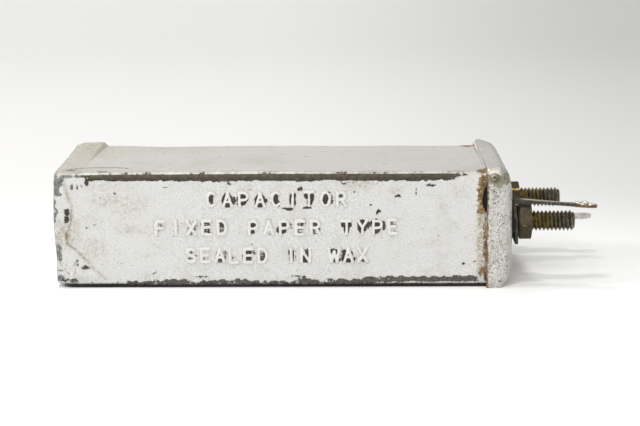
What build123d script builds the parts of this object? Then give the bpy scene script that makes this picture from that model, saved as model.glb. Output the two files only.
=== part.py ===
"""Sealed paper capacitor in a folded sheet-metal can, with two threaded terminal studs.

Millimetres, +Z up. +X runs along the can towards the terminals, and the lettered face looks along -Y.
The origin is the middle of the bottom of the whole part. Distances called "station" are measured
along +X from the can's closed left end, and at_station() turns them into X.
"""
import os
from math import atan, cos, pi, radians, sin
from typing import NamedTuple

from build123d import *

os.makedirs("parts", exist_ok=True)

# ---- driving dimensions ----
inch = 25.4
clearance = 0.05
overshoot = 1.0

cap_mouth = 4.5 * inch
can_depth = 1.75 * inch
can_height = 30.2
can_wall = 0.5
can_edge_radius = 2.0
skirt_length = 6.8
can_in_cap = 4.2

cap_wall = 0.6
solder_gap = 0.4
cap_corner_radius = 3.6
cap_rim_radius = 3.3
cap_proud = cap_wall + solder_gap

flap_width = 6.6
flap_thick_front = 0.2
flap_thick_back = 0.9
flap_front_inset = 3.0
foot_inset = 5.0
ear_thickness = 0.45
lower_ear_leg = 11.5
upper_ear_width = 4.8
upper_ear_height = 8.5

seam_bead_width = 0.9
seam_depth = 2.4
seam_gap_low = 19.0
seam_gap_high = 27.0
dot_radius = 1.15
dot_angle = radians(21)
dot_from_mouth = 1.9

terminal_spacing = 33.0
terminal_height = 16.8
stud_radius = 2.743
stud_reach = 16.9
stud_chamfer = 0.5
thread_pitch = inch / 24
relief_radius = 2.35
relief_width = 0.7
head_radius = 4.5
head_thickness = 2.5

insulator_radius = 4.75
insulator_thickness = 1.0
bush_radius = 3.9
cap_hole_radius = 3.95
inner_insulator_radius = 5.2
inner_insulator_thickness = 1.5
washer_radius = 4.1
washer_thickness = 0.35
near_nut_flats = 11 / 32 * inch
far_nut_flats = 5 / 16 * inch
nut_thickness = 3.3
nut_bore_radius = 2.79
nut_bevel = 0.35

lug_thickness = 0.7
lug_plate_width = 9.0
lug_plate_reach = 5.9
lug_plate_corner = 2.2
lug_hole_radius = 2.85
lug_neck_width = 3.0
lug_eye_width = 4.6
lug_eye_length = 7.5
lug_eye_taper = 2.5
lug_eye_hole_radius = 0.9
lug_bend_radius = 0.9

liner_wall = 0.4
pad_thickness = 1.5
winding_end_gap = 0.5
winding_side_gap = 0.3
winding_length = 98.0
winding_turns = 8
core_radius = 1.5
wrap_thickness = 0.3
wrap_radius = 13.6
band_width = 12.0
band_thickness = 0.25
band_places = (0.2, 0.75)
board_thickness = 1.0
compound_gap = 1.5
compound_length = 8.0
lead_width = 4.0
lead_thickness = 0.3
lead_offset = 6.5


class Terminal(NamedTuple):
    """What differs from one terminal to the other."""

    name: str
    y: float
    tail_side: int
    tail_reach: float
    tail_start: float
    tail_tip: float
    nut_flats: float
    nut_turn: float


# tail_side is +1 where the lug's tail leaves its plate upward and -1 where it leaves it downward.
# tail_reach is measured out from the cap, tail_start and tail_tip away from the stud's axis.
TERMINALS = (
    Terminal("near", -terminal_spacing / 2, 1, 23.0, 6.15, 4.0, near_nut_flats, -6.5),
    Terminal("far", terminal_spacing / 2, -1, 26.2, 6.4, 5.45, far_nut_flats, 40.7),
)

# ---- worked-out sizes ----
body_length = cap_mouth + skirt_length
longest_reach = max(terminal.tail_reach for terminal in TERMINALS)
half_length = (body_length + longest_reach) / 2
can_bottom = cap_proud
can_middle = can_bottom + can_height / 2
can_top = can_bottom + can_height
can_end = cap_mouth + can_in_cap
cap_depth = can_depth + 2 * cap_proud
cap_height = can_height + 2 * cap_proud
lug_station = body_length + insulator_thickness
washer_station = lug_station + lug_thickness
nut_station = washer_station + washer_thickness
nut_outer_station = nut_station + nut_thickness
head_station = body_length - cap_wall - inner_insulator_thickness - head_thickness


def at_station(station):
    return station - half_length


def across(station, y=0.0, z=0.0):
    """A plane square to the length, with its own X along Y and its own Y along Z."""
    return Plane(origin=(at_station(station), y, z), x_dir=(0, 1, 0), z_dir=(1, 0, 0))


def rounded_bar(start, end, depth, height, radius):
    """A bar with rounded long edges, centred on the can's middle line."""
    outline = across(start, 0, can_middle) * RectangleRounded(depth, height, radius)
    return extrude(outline, end - start)


def plate(start, end, y_low, y_high, z_low, z_high):
    outline = across(start, (y_low + y_high) / 2, (z_low + z_high) / 2)
    return extrude(outline * Rectangle(y_high - y_low, z_high - z_low), end - start)


def turned(profile, y):
    """A solid of revolution about a terminal's axis, from (station, radius) points."""
    points = [(at_station(station), y, terminal_height + radius) for station, radius in profile]
    face = make_face(Polyline(*points, close=True))
    return revolve(face, Axis((0, y, terminal_height), (1, 0, 0)), 360)


def ring(start, end, inner, outer, y):
    return turned([(start, inner), (end, inner), (end, outer), (start, outer)], y)


def disc(start, end, radius, y):
    return ring(start, end, 0, radius, y)


def front_triangle(corners, y_face, thickness):
    """A thin folded ear on a side face, from (station, height) corners."""
    points = [(at_station(station), y_face, height) for station, height in corners]
    return extrude(make_face(Polyline(*points, close=True)), thickness, dir=(0, 1, 0))


# ---- the case ----
def make_can():
    inner_depth = can_depth - 2 * can_wall
    inner_height = can_height - 2 * can_wall
    can = rounded_bar(0, can_end, can_depth, can_height, can_edge_radius)
    can -= rounded_bar(can_wall, can_end, inner_depth, inner_height, can_edge_radius - can_wall)
    flap = [
        (-can_depth / 2 + flap_front_inset, can_top - can_wall / 2),
        (can_depth / 2 - can_edge_radius, can_top - can_wall / 2),
        (can_depth / 2 - can_edge_radius, can_top + flap_thick_back),
        (-can_depth / 2 + flap_front_inset, can_top + flap_thick_front),
    ]
    points = [(at_station(0), y, z) for y, z in flap]
    can += extrude(make_face(Polyline(*points, close=True)), flap_width, dir=(1, 0, 0))
    foot_side = can_depth / 2 - foot_inset
    can += plate(0, flap_width, -foot_side, foot_side, 0, can_bottom + can_wall / 2)
    low = can_bottom + can_edge_radius
    high = can_top - can_edge_radius
    lower_ear = [(0, low), (lower_ear_leg, low), (0, low + lower_ear_leg)]
    upper_ear = [(0, high), (upper_ear_width, high), (0, high - upper_ear_height)]
    for corners in (lower_ear, upper_ear):
        can += front_triangle(corners, -can_depth / 2 - ear_thickness, ear_thickness + can_wall / 2)
        can += front_triangle(corners, can_depth / 2 - can_wall / 2, ear_thickness + can_wall / 2)
    return can


def cap_envelope():
    """The cap's outside as a solid block: rounded corners and a rounded outer rim."""
    block = rounded_bar(cap_mouth, body_length, cap_depth, cap_height, cap_corner_radius)
    return fillet(block.faces().sort_by(Axis.X)[-1].edges(), cap_rim_radius)


def make_cap():
    inner_end = body_length - cap_wall
    inner_depth = cap_depth - 2 * cap_wall
    inner_height = cap_height - 2 * cap_wall
    hollow = rounded_bar(cap_mouth, inner_end, inner_depth, inner_height, cap_corner_radius - cap_wall)
    hollow = fillet(hollow.faces().sort_by(Axis.X)[-1].edges(), cap_rim_radius - cap_wall)
    cap = cap_envelope() - hollow
    for terminal in TERMINALS:
        cap -= disc(inner_end - overshoot, body_length + overshoot, cap_hole_radius, terminal.y)
    return cap


def make_solder_seam(can, cap):
    """Solder wicked between the can and the cap's skirt, with a bead outside and one bare stretch."""
    start = cap_mouth - seam_bead_width
    fill = rounded_bar(cap_mouth, cap_mouth + seam_depth, cap_depth - cap_wall, cap_height - cap_wall,
                       cap_corner_radius - cap_wall / 2)
    bead = rounded_bar(start, cap_mouth, can_depth + cap_proud, can_height + cap_proud,
                       can_edge_radius + cap_proud / 2)
    bare = plate(start, cap_mouth + seam_depth, -can_depth, 0, seam_gap_low, seam_gap_high)
    bore = rounded_bar(start, cap_mouth + seam_depth, can_depth, can_height, can_edge_radius)
    return fill + bead - bare - bore - cap


def make_solder_dot():
    """A drop of solder on the cap's front top corner."""
    reach = cap_corner_radius - dot_radius / 4
    y = -cap_depth / 2 + cap_corner_radius - reach * cos(dot_angle)
    z = can_middle + cap_height / 2 - cap_corner_radius + reach * sin(dot_angle)
    return Pos(at_station(cap_mouth + dot_from_mouth), y, z) * Sphere(dot_radius) - cap_envelope()


# ---- the terminals ----
def make_stud(y):
    """A headed stud with a thread relief hidden under the outer end of its nut."""
    end = body_length + stud_reach
    relief_start = nut_outer_station - relief_width
    return turned([
        (head_station, 0),
        (head_station, head_radius),
        (head_station + head_thickness, head_radius),
        (head_station + head_thickness, stud_radius),
        (relief_start, stud_radius),
        (relief_start, relief_radius),
        (nut_outer_station, relief_radius),
        (nut_outer_station, stud_radius),
        (end - stud_chamfer, stud_radius),
        (end, stud_radius - stud_chamfer),
        (end, 0),
    ], y)


def make_nut(terminal):
    """A hexagon nut with both faces bevelled at the corners."""
    y = terminal.y
    face_radius = terminal.nut_flats / 2
    full = face_radius / cos(pi / 6) + clearance
    outline = RegularPolygon(face_radius, 6, major_radius=False, rotation=30)
    seat = across(nut_station, y, terminal_height) * Rot(0, 0, terminal.nut_turn)
    hexagon = extrude(seat * outline, nut_thickness)
    envelope = turned([
        (nut_station, 0),
        (nut_station, face_radius),
        (nut_station + nut_bevel, full),
        (nut_outer_station - nut_bevel, full),
        (nut_outer_station, face_radius),
        (nut_outer_station, 0),
    ], y)
    return (hexagon & envelope) - disc(nut_station, nut_outer_station, nut_bore_radius, y)


def make_outer_insulator(y):
    """A shouldered fibre bush: a washer outside the cap and a sleeve through the cap's hole."""
    return turned([
        (body_length - cap_wall, stud_radius + clearance),
        (lug_station, stud_radius + clearance),
        (lug_station, insulator_radius),
        (body_length, insulator_radius),
        (body_length, bush_radius),
        (body_length - cap_wall, bush_radius),
    ], y)


def tail_slope(terminal):
    base = insulator_thickness + lug_thickness
    return (terminal.tail_tip - terminal.tail_start) / (terminal.tail_reach - base)


def tail_height(terminal, reach):
    """Distance of the tail's middle line from the stud's axis, at a reach past the cap."""
    return terminal.tail_tip + tail_slope(terminal) * (reach - terminal.tail_reach)


def tail_side_view(terminal):
    """The tail seen from the front: away from the stud, round the bend and out to the tip."""
    half = lug_thickness / 2
    inside = insulator_thickness
    outside = inside + lug_thickness
    tip = terminal.tail_reach
    root = lug_plate_reach - overshoot
    corners = [
        (inside, root),
        (inside, tail_height(terminal, inside) + half),
        (tip, terminal.tail_tip + half),
        (tip, terminal.tail_tip - half),
        (outside, terminal.tail_start - half),
        (outside, root),
    ]
    points = [(at_station(body_length + reach), terminal.y, terminal_height + terminal.tail_side * height)
              for reach, height in corners]
    outline = make_face(Polyline(*points, close=True))
    bend = outline.vertices().sort_by_distance(points[1])[0]
    return fillet(bend, lug_bend_radius)


def tail_top_view(terminal):
    """The tail seen from above: a narrow neck that widens into a round eye."""
    half_neck = lug_neck_width / 2
    half_eye = lug_eye_width / 2
    eye_centre = terminal.tail_reach - half_eye
    neck_end = terminal.tail_reach - lug_eye_length
    wide_start = neck_end + lug_eye_taper
    view = Plane(origin=(at_station(body_length), terminal.y, 0))
    shape = view * Pos(neck_end / 2, 0) * Rectangle(neck_end, lug_neck_width)
    shape += view * make_face(Polyline(
        (neck_end, -half_neck), (wide_start, -half_eye), (eye_centre, -half_eye),
        (eye_centre, half_eye), (wide_start, half_eye), (neck_end, half_neck), close=True))
    return shape + view * Pos(eye_centre, 0) * Circle(half_eye)


def lug_eye(terminal):
    """A plane square to the eye's hole, at the middle of the lug's thickness."""
    slope = atan(tail_slope(terminal))
    eye_reach = terminal.tail_reach - lug_eye_width / 2
    height = terminal.tail_side * tail_height(terminal, eye_reach)
    return Plane(origin=(at_station(body_length + eye_reach), terminal.y, terminal_height + height),
                 z_dir=(-sin(slope), 0, terminal.tail_side * cos(slope)))


def make_lug(terminal):
    """A holed plate with its tail bent square and running outward to a rounded eye for a wire."""
    y = terminal.y
    seat = across(lug_station, y, terminal_height)
    outline = RectangleRounded(lug_plate_width, 2 * lug_plate_reach, lug_plate_corner)
    tail = extrude(tail_side_view(terminal), lug_eye_width / 2, dir=(0, 1, 0), both=True)
    tail &= extrude(tail_top_view(terminal), 2 * terminal_height)
    tail -= extrude(lug_eye(terminal) * Circle(lug_eye_hole_radius), 2 * lug_thickness, both=True)
    lug = extrude(seat * outline, lug_thickness) + tail
    return lug - disc(lug_station - overshoot, washer_station + overshoot, lug_hole_radius, y)


def make_lead(y, foil_height):
    """A flat tinned lead: from the stud's head, through the board and wax, to the winding's end."""
    half_width = lead_width / 2
    pad = head_station - lead_thickness
    upright_low = min(foil_height, terminal_height) - lead_thickness / 2
    upright_high = max(foil_height, terminal_height) + lead_thickness / 2
    lead = plate(pad, head_station, y - half_width, y + half_width, upright_low, upright_high)
    tail_low = foil_height - lead_thickness / 2
    tail_high = foil_height + lead_thickness / 2
    return lead + plate(winding_end, pad, y - half_width, y + half_width, tail_low, tail_high)


# ---- the sealed inside ----
liner_start = can_wall
liner_depth = can_depth - 2 * can_wall
liner_height = can_height - 2 * can_wall
inside_depth = liner_depth - 2 * liner_wall
inside_height = liner_height - 2 * liner_wall
inside_radius = can_edge_radius - can_wall - liner_wall
winding_start = can_wall + pad_thickness + winding_end_gap
winding_end = winding_start + winding_length
compound_start = winding_end + compound_gap
board_start = compound_start + compound_length
liner_end = board_start + board_thickness
growth = (wrap_radius - clearance - core_radius) / (2 * winding_turns + 1)
layer = growth / 2
flat_half = inside_depth / 2 - wrap_radius - wrap_thickness - winding_side_gap


def spiral_edges(radius):
    """A flattened spiral of half turns joined by straight runs, each turn 2 * growth further out."""
    edges = []
    for turn in range(winding_turns):
        right = radius + 2 * growth * turn
        left = right + growth
        edges.append(CenterArc((flat_half, 0), right, -90, 180))
        edges.append(Line((flat_half, right), (-flat_half, right)))
        edges.append(CenterArc((-flat_half, -growth), left, 90, 180))
        edges.append(Line((-flat_half, -right - 2 * growth), (flat_half, -right - 2 * growth)))
    return edges


def make_strip(place):
    """One of the four strips wound together, counted outward from the core."""
    inner = core_radius + place * layer
    outer = inner + layer
    grown = 2 * growth * winding_turns
    edges = spiral_edges(inner) + spiral_edges(outer)
    edges.append(Line((flat_half, -inner), (flat_half, -outer)))
    edges.append(Line((flat_half, -inner - grown), (flat_half, -outer - grown)))
    face = make_face(Curve() + edges)
    return extrude(across(winding_start, 0, can_middle + growth) * face, winding_length)


def oval_sleeve(start, end, inner, outer):
    """A sleeve with half-round sides that fits round the flattened winding."""
    seat = across(start, 0, can_middle)
    ring_face = seat * SlotCenterToCenter(2 * flat_half, 2 * outer)
    ring_face -= seat * SlotCenterToCenter(2 * flat_half, 2 * inner)
    return extrude(ring_face, end - start)


def make_core():
    seat = across(winding_start, 0, can_middle + growth)
    return extrude(seat * SlotCenterToCenter(2 * flat_half, 2 * core_radius), winding_length)


def make_tie_bands():
    outer = wrap_radius + wrap_thickness
    bands = []
    for place in band_places:
        start = winding_start + place * winding_length
        bands.append(oval_sleeve(start, start + band_width, outer, outer + band_thickness))
    return Compound(children=bands)


def inside_block(start, length):
    return rounded_bar(start, start + length, inside_depth, inside_height, inside_radius)


def make_liner():
    liner = rounded_bar(liner_start, liner_end, liner_depth, liner_height, can_edge_radius - can_wall)
    return liner - inside_block(liner_start, liner_end - liner_start)


# ---- every node ----
can_body = make_can()
end_cap = make_cap()
lead_heights = (can_middle + lead_offset, can_middle - lead_offset)
leads = [make_lead(terminal.y, height) for terminal, height in zip(TERMINALS, lead_heights)]
compound = inside_block(compound_start, compound_length)
board = inside_block(board_start, board_thickness)
for lead in leads:
    compound -= lead
    board -= lead

nodes = {
    "can_body": can_body,
    "end_cap": end_cap,
    "solder_seam": make_solder_seam(can_body, end_cap),
    "solder_dot": make_solder_dot(),
    "can_liner": make_liner(),
    "end_pad": inside_block(liner_start, pad_thickness),
    "winding_core": make_core(),
    "foil_a": make_strip(0),
    "paper_a": make_strip(1),
    "foil_b": make_strip(2),
    "paper_b": make_strip(3),
    "winding_wrap": oval_sleeve(winding_start, winding_end, wrap_radius, wrap_radius + wrap_thickness),
    "tie_bands": make_tie_bands(),
    "sealing_compound": compound,
    "terminal_board": board,
}
for terminal, lead in zip(TERMINALS, leads):
    name, y = terminal.name, terminal.y
    insulator_start = head_station + head_thickness
    washer = ring(insulator_start, body_length - cap_wall, stud_radius + clearance,
                  inner_insulator_radius, y)
    nodes[f"stud_{name}"] = make_stud(y)
    nodes[f"lead_{name}"] = lead
    nodes[f"inner_insulator_{name}"] = washer - end_cap
    nodes[f"outer_insulator_{name}"] = make_outer_insulator(y)
    nodes[f"solder_lug_{name}"] = make_lug(terminal)
    nodes[f"nut_washer_{name}"] = ring(washer_station, nut_station, nut_bore_radius, washer_radius, y)
    nodes[f"hex_nut_{name}"] = make_nut(terminal)

for node, shape in nodes.items():
    export_step(shape, f"parts/{node}.step")

# ---- numbers that the record repeats ----
print(len(nodes), "nodes, stud axes at y", terminal_spacing / 2, "z", terminal_height)
print("exposed stud from x", at_station(nut_outer_station), "to",
      at_station(body_length + stud_reach - stud_chamfer))
print("nut turns per millimetre, in radians", 2 * pi / thread_pitch)
for terminal in TERMINALS:
    eye = lug_eye(terminal)
    print(f"solder_lug_{terminal.name} eye at", tuple(eye.origin), "axis", tuple(eye.z_dir))
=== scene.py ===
from math import cos, pi, radians, sin
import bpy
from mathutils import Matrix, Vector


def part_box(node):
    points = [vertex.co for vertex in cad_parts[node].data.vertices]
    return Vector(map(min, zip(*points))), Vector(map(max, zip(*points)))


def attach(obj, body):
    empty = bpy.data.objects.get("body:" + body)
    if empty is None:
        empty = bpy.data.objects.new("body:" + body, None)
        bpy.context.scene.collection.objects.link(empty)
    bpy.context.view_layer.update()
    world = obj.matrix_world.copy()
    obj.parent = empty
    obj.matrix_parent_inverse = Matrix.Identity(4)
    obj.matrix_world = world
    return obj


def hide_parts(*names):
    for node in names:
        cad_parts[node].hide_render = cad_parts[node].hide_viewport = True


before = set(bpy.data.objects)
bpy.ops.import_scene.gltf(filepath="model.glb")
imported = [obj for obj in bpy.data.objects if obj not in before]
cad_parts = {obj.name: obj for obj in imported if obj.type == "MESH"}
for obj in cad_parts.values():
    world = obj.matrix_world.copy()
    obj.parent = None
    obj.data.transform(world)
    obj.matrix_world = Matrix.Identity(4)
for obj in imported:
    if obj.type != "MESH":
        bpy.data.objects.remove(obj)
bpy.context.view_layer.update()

from types import SimpleNamespace

import bmesh
import bpy
import numpy as np
from mathutils import Matrix, Vector

# Shapes are worked out in millimetres in the CAD frame and turned into metres when a mesh is made.
MM = 0.001


# ---------------------------------------------------------------- places taken from the frame
def box_mm(node):
    low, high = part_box(node)
    return np.array(low) / MM, np.array(high) / MM


def terminal_axis(name):
    """y and z of a terminal's axis."""
    low, high = box_mm(f"stud_{name}")
    return (low[1] + high[1]) / 2, (low[2] + high[2]) / 2


cap_low, cap_high = box_mm("end_cap")
can_low, can_high = box_mm("can_body")
LEFT, MOUTH, RIGHT = can_low[0], cap_low[0], cap_high[0]
CAN_END = can_high[0]
CAP_PROUD = 1.0
CAN_EDGE = 2.0
WALL = 0.5
HALF_DEPTH = cap_high[1] - CAP_PROUD
BOTTOM = cap_low[2] + CAP_PROUD
TOP = cap_high[2] - CAP_PROUD
MIDDLE = (BOTTOM + TOP) / 2
INCH = 25.4
THREAD_PITCH = INCH / 24
THREAD_RADIUS = 2.743
NUT_BORE = 2.79


# ---------------------------------------------------------------- small maths helpers
def smooth(low, high, value):
    share = np.clip((value - low) / (high - low), 0, 1)
    return share * share * (3 - 2 * share)


def window(low, high, soft, value):
    """1 between low and high, falling to 0 over a soft margin outside."""
    return smooth(low - soft, low, value) * (1 - smooth(high, high + soft, value))


def hill(value, middle, half):
    """A smooth bump of height 1 at middle that falls to 0.37 at half to each side."""
    return np.exp(-((value - middle) / half) ** 2)


def value_noise(a, b, cell, seed):
    """Smooth random values between -1 and 1 over a plane, with bumps about one cell across."""
    rows, columns = 61, 67
    lattice = np.random.default_rng(seed).uniform(-1, 1, (rows, columns))
    i, j = np.asarray(a) / cell, np.asarray(b) / cell
    i0, j0 = np.floor(i).astype(int), np.floor(j).astype(int)
    fi, fj = i - i0, j - j0
    fi, fj = fi * fi * (3 - 2 * fi), fj * fj * (3 - 2 * fj)

    def at(p, q):
        return lattice[p % rows, q % columns]

    near = at(i0, j0) * (1 - fi) + at(i0 + 1, j0) * fi
    far = at(i0, j0 + 1) * (1 - fi) + at(i0 + 1, j0 + 1) * fi
    return near * (1 - fj) + far * fj


def steps(*stretches):
    """Rising values through (start, end, spacing) stretches."""
    values = []
    for start, end, spacing in stretches:
        count = max(1, round((end - start) / spacing))
        values.extend(np.linspace(start, end, count, endpoint=False))
    values.append(stretches[-1][1])
    return np.array(values)


# ---------------------------------------------------------------- meshes
def loft(rings, closed=False):
    """Points and faces of a skin over rings of points. Ends get fans, or the last ring joins the first."""
    rows, count = rings.shape[:2]
    points = rings.reshape(-1, 3)
    index = np.arange(rows * count).reshape(rows, count)
    first = index if closed else index[:-1]
    second = np.roll(index, -1, axis=0) if closed else index[1:]
    quads = np.stack([first, np.roll(first, -1, 1), np.roll(second, -1, 1), second], -1)
    faces = quads.reshape(-1, 4).tolist()
    if not closed:
        middles = [rings[0].mean(0), rings[-1].mean(0)]
        start = len(points)
        points = np.vstack([points, middles])
        for k in range(count):
            faces.append([start, index[0][(k + 1) % count], index[0][k]])
            faces.append([start + 1, index[-1][k], index[-1][(k + 1) % count]])
    return points, faces


def make_piece(name, points, faces, material, body, nodes=(), fields=None, sharp=40):
    """A mesh object from millimetre points, riding on a body and standing for CAD nodes."""
    mesh = bpy.data.meshes.new(name)
    mesh.from_pydata((np.asarray(points) * MM).tolist(), [], faces)
    for field, values in (fields or {}).items():
        attribute = mesh.attributes.new(field, "FLOAT", "POINT")
        attribute.data.foreach_set("value", np.asarray(values, np.float32))
    work = bmesh.new()
    work.from_mesh(mesh)
    bmesh.ops.recalc_face_normals(work, faces=work.faces)
    if work.calc_volume(signed=True) < 0:
        bmesh.ops.reverse_faces(work, faces=work.faces)
    work.to_mesh(mesh)
    work.free()
    mesh.polygons.foreach_set("use_smooth", [True] * len(mesh.polygons))
    mesh.set_sharp_from_angle(angle=radians(sharp))
    piece = bpy.data.objects.new(name, mesh)
    bpy.context.scene.collection.objects.link(piece)
    mesh.materials.append(material)
    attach(piece, body)
    if nodes:
        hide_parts(*nodes)
    return piece


# ---------------------------------------------------------------- materials
class Shader:
    """Builds one procedural material, with short calls for the nodes that it uses."""

    def __init__(self, name, roughness=0.5, metallic=0.0):
        self.material = bpy.data.materials.new(name)
        self.material.use_nodes = True
        self.tree = self.material.node_tree
        self.surface = self.tree.nodes["Principled BSDF"]
        self.surface.inputs["Roughness"].default_value = roughness
        self.surface.inputs["Metallic"].default_value = metallic
        self.place = self.node("TexCoord").outputs["Object"]

    def put(self, socket, value):
        if hasattr(value, "is_linked"):
            self.tree.links.new(value, socket)
        elif isinstance(value, tuple) and len(socket.default_value) == 4:
            socket.default_value = (*value, 1.0)
        else:
            socket.default_value = value

    def node(self, kind, **sockets):
        """A new node, with values or links put into its named inputs."""
        made = self.tree.nodes.new(f"ShaderNode{kind}")
        for name, value in sockets.items():
            self.put(made.inputs[name.replace("_", " ")], value)
        return made

    def stretched(self, x, y, z):
        return self.node("Mapping", Scale=(x, y, z), Vector=self.place).outputs["Vector"]

    def noise(self, size, detail=3.0, roughness=0.55, place=None):
        """Fractal noise with features about size millimetres across."""
        return self.node("TexNoise", Scale=1 / (size * MM), Detail=detail, Roughness=roughness,
                         Vector=place or self.place).outputs["Fac"]

    def cells(self, size):
        return self.node("TexVoronoi", Scale=1 / (size * MM), Vector=self.place).outputs["Distance"]

    def field(self, name):
        node = self.node("Attribute")
        node.attribute_name = name
        return node.outputs["Fac"]

    def math(self, operation, *values):
        node = self.node("Math")
        node.operation = operation
        for socket, value in zip(node.inputs, values):
            self.put(socket, value)
        return node.outputs[0]

    def times(self, first, second):
        return self.math("MULTIPLY", first, second)

    def frayed(self, field, texture, gain):
        """A field whose soft edge is broken up by a texture."""
        return self.math("MULTIPLY_ADD", self.math("SUBTRACT", texture, 0.5), gain, field)

    def patches(self, name, texture, gain, low, high):
        """Ragged patches where the mesh's own field of that name is strong."""
        return self.step(self.frayed(self.field(name), texture, gain), low, high)

    def span(self, value, to_low, to_high, low=0.3, high=0.7, kind="LINEAR"):
        """Carries the range low to high over to the range to_low to to_high."""
        node = self.node("MapRange", Value=value, From_Min=low, From_Max=high,
                         To_Min=to_low, To_Max=to_high)
        node.interpolation_type = kind
        return node.outputs["Result"]

    def step(self, value, low, high):
        """0 below low, 1 above high, smooth between."""
        return self.span(value, 0.0, 1.0, low, high, "SMOOTHSTEP")

    def mix(self, share, first, second):
        node = self.node("Mix")
        node.data_type = "RGBA"
        for place, value in ((0, share), (6, first), (7, second)):
            self.put(node.inputs[place], value)
        return node.outputs[2]

    def ramp(self, value, *stops):
        node = self.node("ValToRGB", Fac=value)
        while len(node.color_ramp.elements) < len(stops):
            node.color_ramp.elements.new(0.5)
        for element, (position, colour) in zip(node.color_ramp.elements, stops):
            element.position = position
            element.color = (*colour, 1.0)
        return node.outputs["Color"]

    def bump(self, height, depth, below=None):
        """Bump whose height socket of 1 stands for depth millimetres, over the bump below it."""
        node = self.node("Bump", Distance=depth * MM, Height=height)
        if below is not None:
            self.tree.links.new(below, node.inputs["Normal"])
        return node.outputs["Normal"]

    def finish(self, colour=None, roughness=None, normal=None, metallic=None):
        for socket, value in (("Base Color", colour), ("Roughness", roughness),
                              ("Normal", normal), ("Metallic", metallic)):
            if value is not None:
                self.put(self.surface.inputs[socket], value)
        return self.material


def can_paint():
    """Old off-white paint over sheet metal: grainy, specked, flaked to dark metal, stained with rust."""
    s = Shader("can_paint")
    grain = s.noise(0.35, 4, 0.7)
    patch = s.noise(4.0, 4, 0.6)
    broad = s.noise(22.0, 3, 0.5)
    fine = s.noise(0.9, 4, 0.65)
    front = s.ramp(grain, (0.3, (0.42, 0.42, 0.402)), (0.45, (0.626, 0.626, 0.608)),
                   (0.66, (0.745, 0.745, 0.732)))
    front = s.mix(s.times(s.step(patch, 0.5, 0.72), 0.5), front, (0.546, 0.537, 0.502))
    # Paler paint on the letters' strokes, and a painted highlight along the front's top rim.
    front = s.mix(s.field("pale_letters_rim_highlight"), front, (0.739, 0.739, 0.726))
    # The top's paint is darker than the front's: aged beige, and painted shade where the top gets less
    # light.
    top = s.ramp(s.noise(0.7, 4, 0.6), (0.3, (0.44, 0.427, 0.396)), (0.7, (0.528, 0.515, 0.484)))
    top = s.mix(s.step(broad, 0.42, 0.66), top, (0.44, 0.418, 0.378))
    paint = s.mix(s.field("aged_and_shaded"), front, top)
    specks = s.times(s.step(s.noise(0.42, 2, 0.5), 0.66, 0.7), s.step(patch, 0.4, 0.6))
    shown = s.span(s.field("aged_and_shaded"), 0.7, 0.12, 0.0, 1.0)
    paint = s.mix(s.times(specks, shown), paint, (0.2, 0.18, 0.15))
    dirt = s.times(s.field("grime"), s.step(s.noise(1.0, 5, 0.8), 0.4, 0.6))
    paint = s.mix(dirt, paint, s.ramp(fine, (0.35, (0.2, 0.155, 0.07)), (0.65, (0.45, 0.385, 0.235))))
    bare_and_glint = s.step(s.frayed(s.frayed(s.field("bare_and_glint"), fine, 1.3), grain, 0.9), 0.47, 0.53)
    olive = s.ramp(s.noise(1.1, 5, 0.7), (0.3, (0.032, 0.026, 0.015)), (0.52, (0.058, 0.047, 0.029)),
                   (0.72, (0.115, 0.096, 0.064)))
    grey = s.ramp(s.noise(0.6, 5, 0.75), (0.32, (0.065, 0.065, 0.062)), (0.47, (0.16, 0.16, 0.155)),
                  (0.61, (0.31, 0.305, 0.295)), (0.71, (0.66, 0.655, 0.63)))
    metal = s.mix(s.field("grey"), olive, grey)
    colour = s.mix(bare_and_glint, paint, metal)
    rust = s.patches("rust", s.noise(0.9, 5, 0.75), 1.5, 0.38, 0.62)
    rust_colour = s.ramp(s.noise(0.6, 5, 0.75), (0.32, (0.03, 0.018, 0.008)), (0.45, (0.13, 0.076, 0.03)),
                         (0.56, (0.31, 0.205, 0.09)), (0.68, (0.58, 0.5, 0.38)))
    colour = s.mix(rust, colour, rust_colour)
    # Painted shadow: near black in the slit beside the cap and under the can's lower front edge.
    colour = s.mix(s.step(s.field("slit"), 0.35, 0.65), colour, (0.006, 0.005, 0.004))
    paint_gloss = s.mix(s.field("aged_and_shaded"), s.span(patch, 0.42, 0.6), s.span(patch, 0.26, 0.4))
    gloss = s.mix(bare_and_glint, paint_gloss, s.span(fine, 0.4, 0.62))
    gloss = s.mix(rust, gloss, (0.75, 0.75, 0.75))
    normal = s.bump(grain, 0.035)
    normal = s.bump(s.math("SUBTRACT", 1.0, bare_and_glint), 0.08, normal)
    normal = s.bump(s.noise(2.6, 3, 0.5), 0.04, normal)
    return s.finish(colour, gloss, normal, s.times(bare_and_glint, 0.35))


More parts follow.
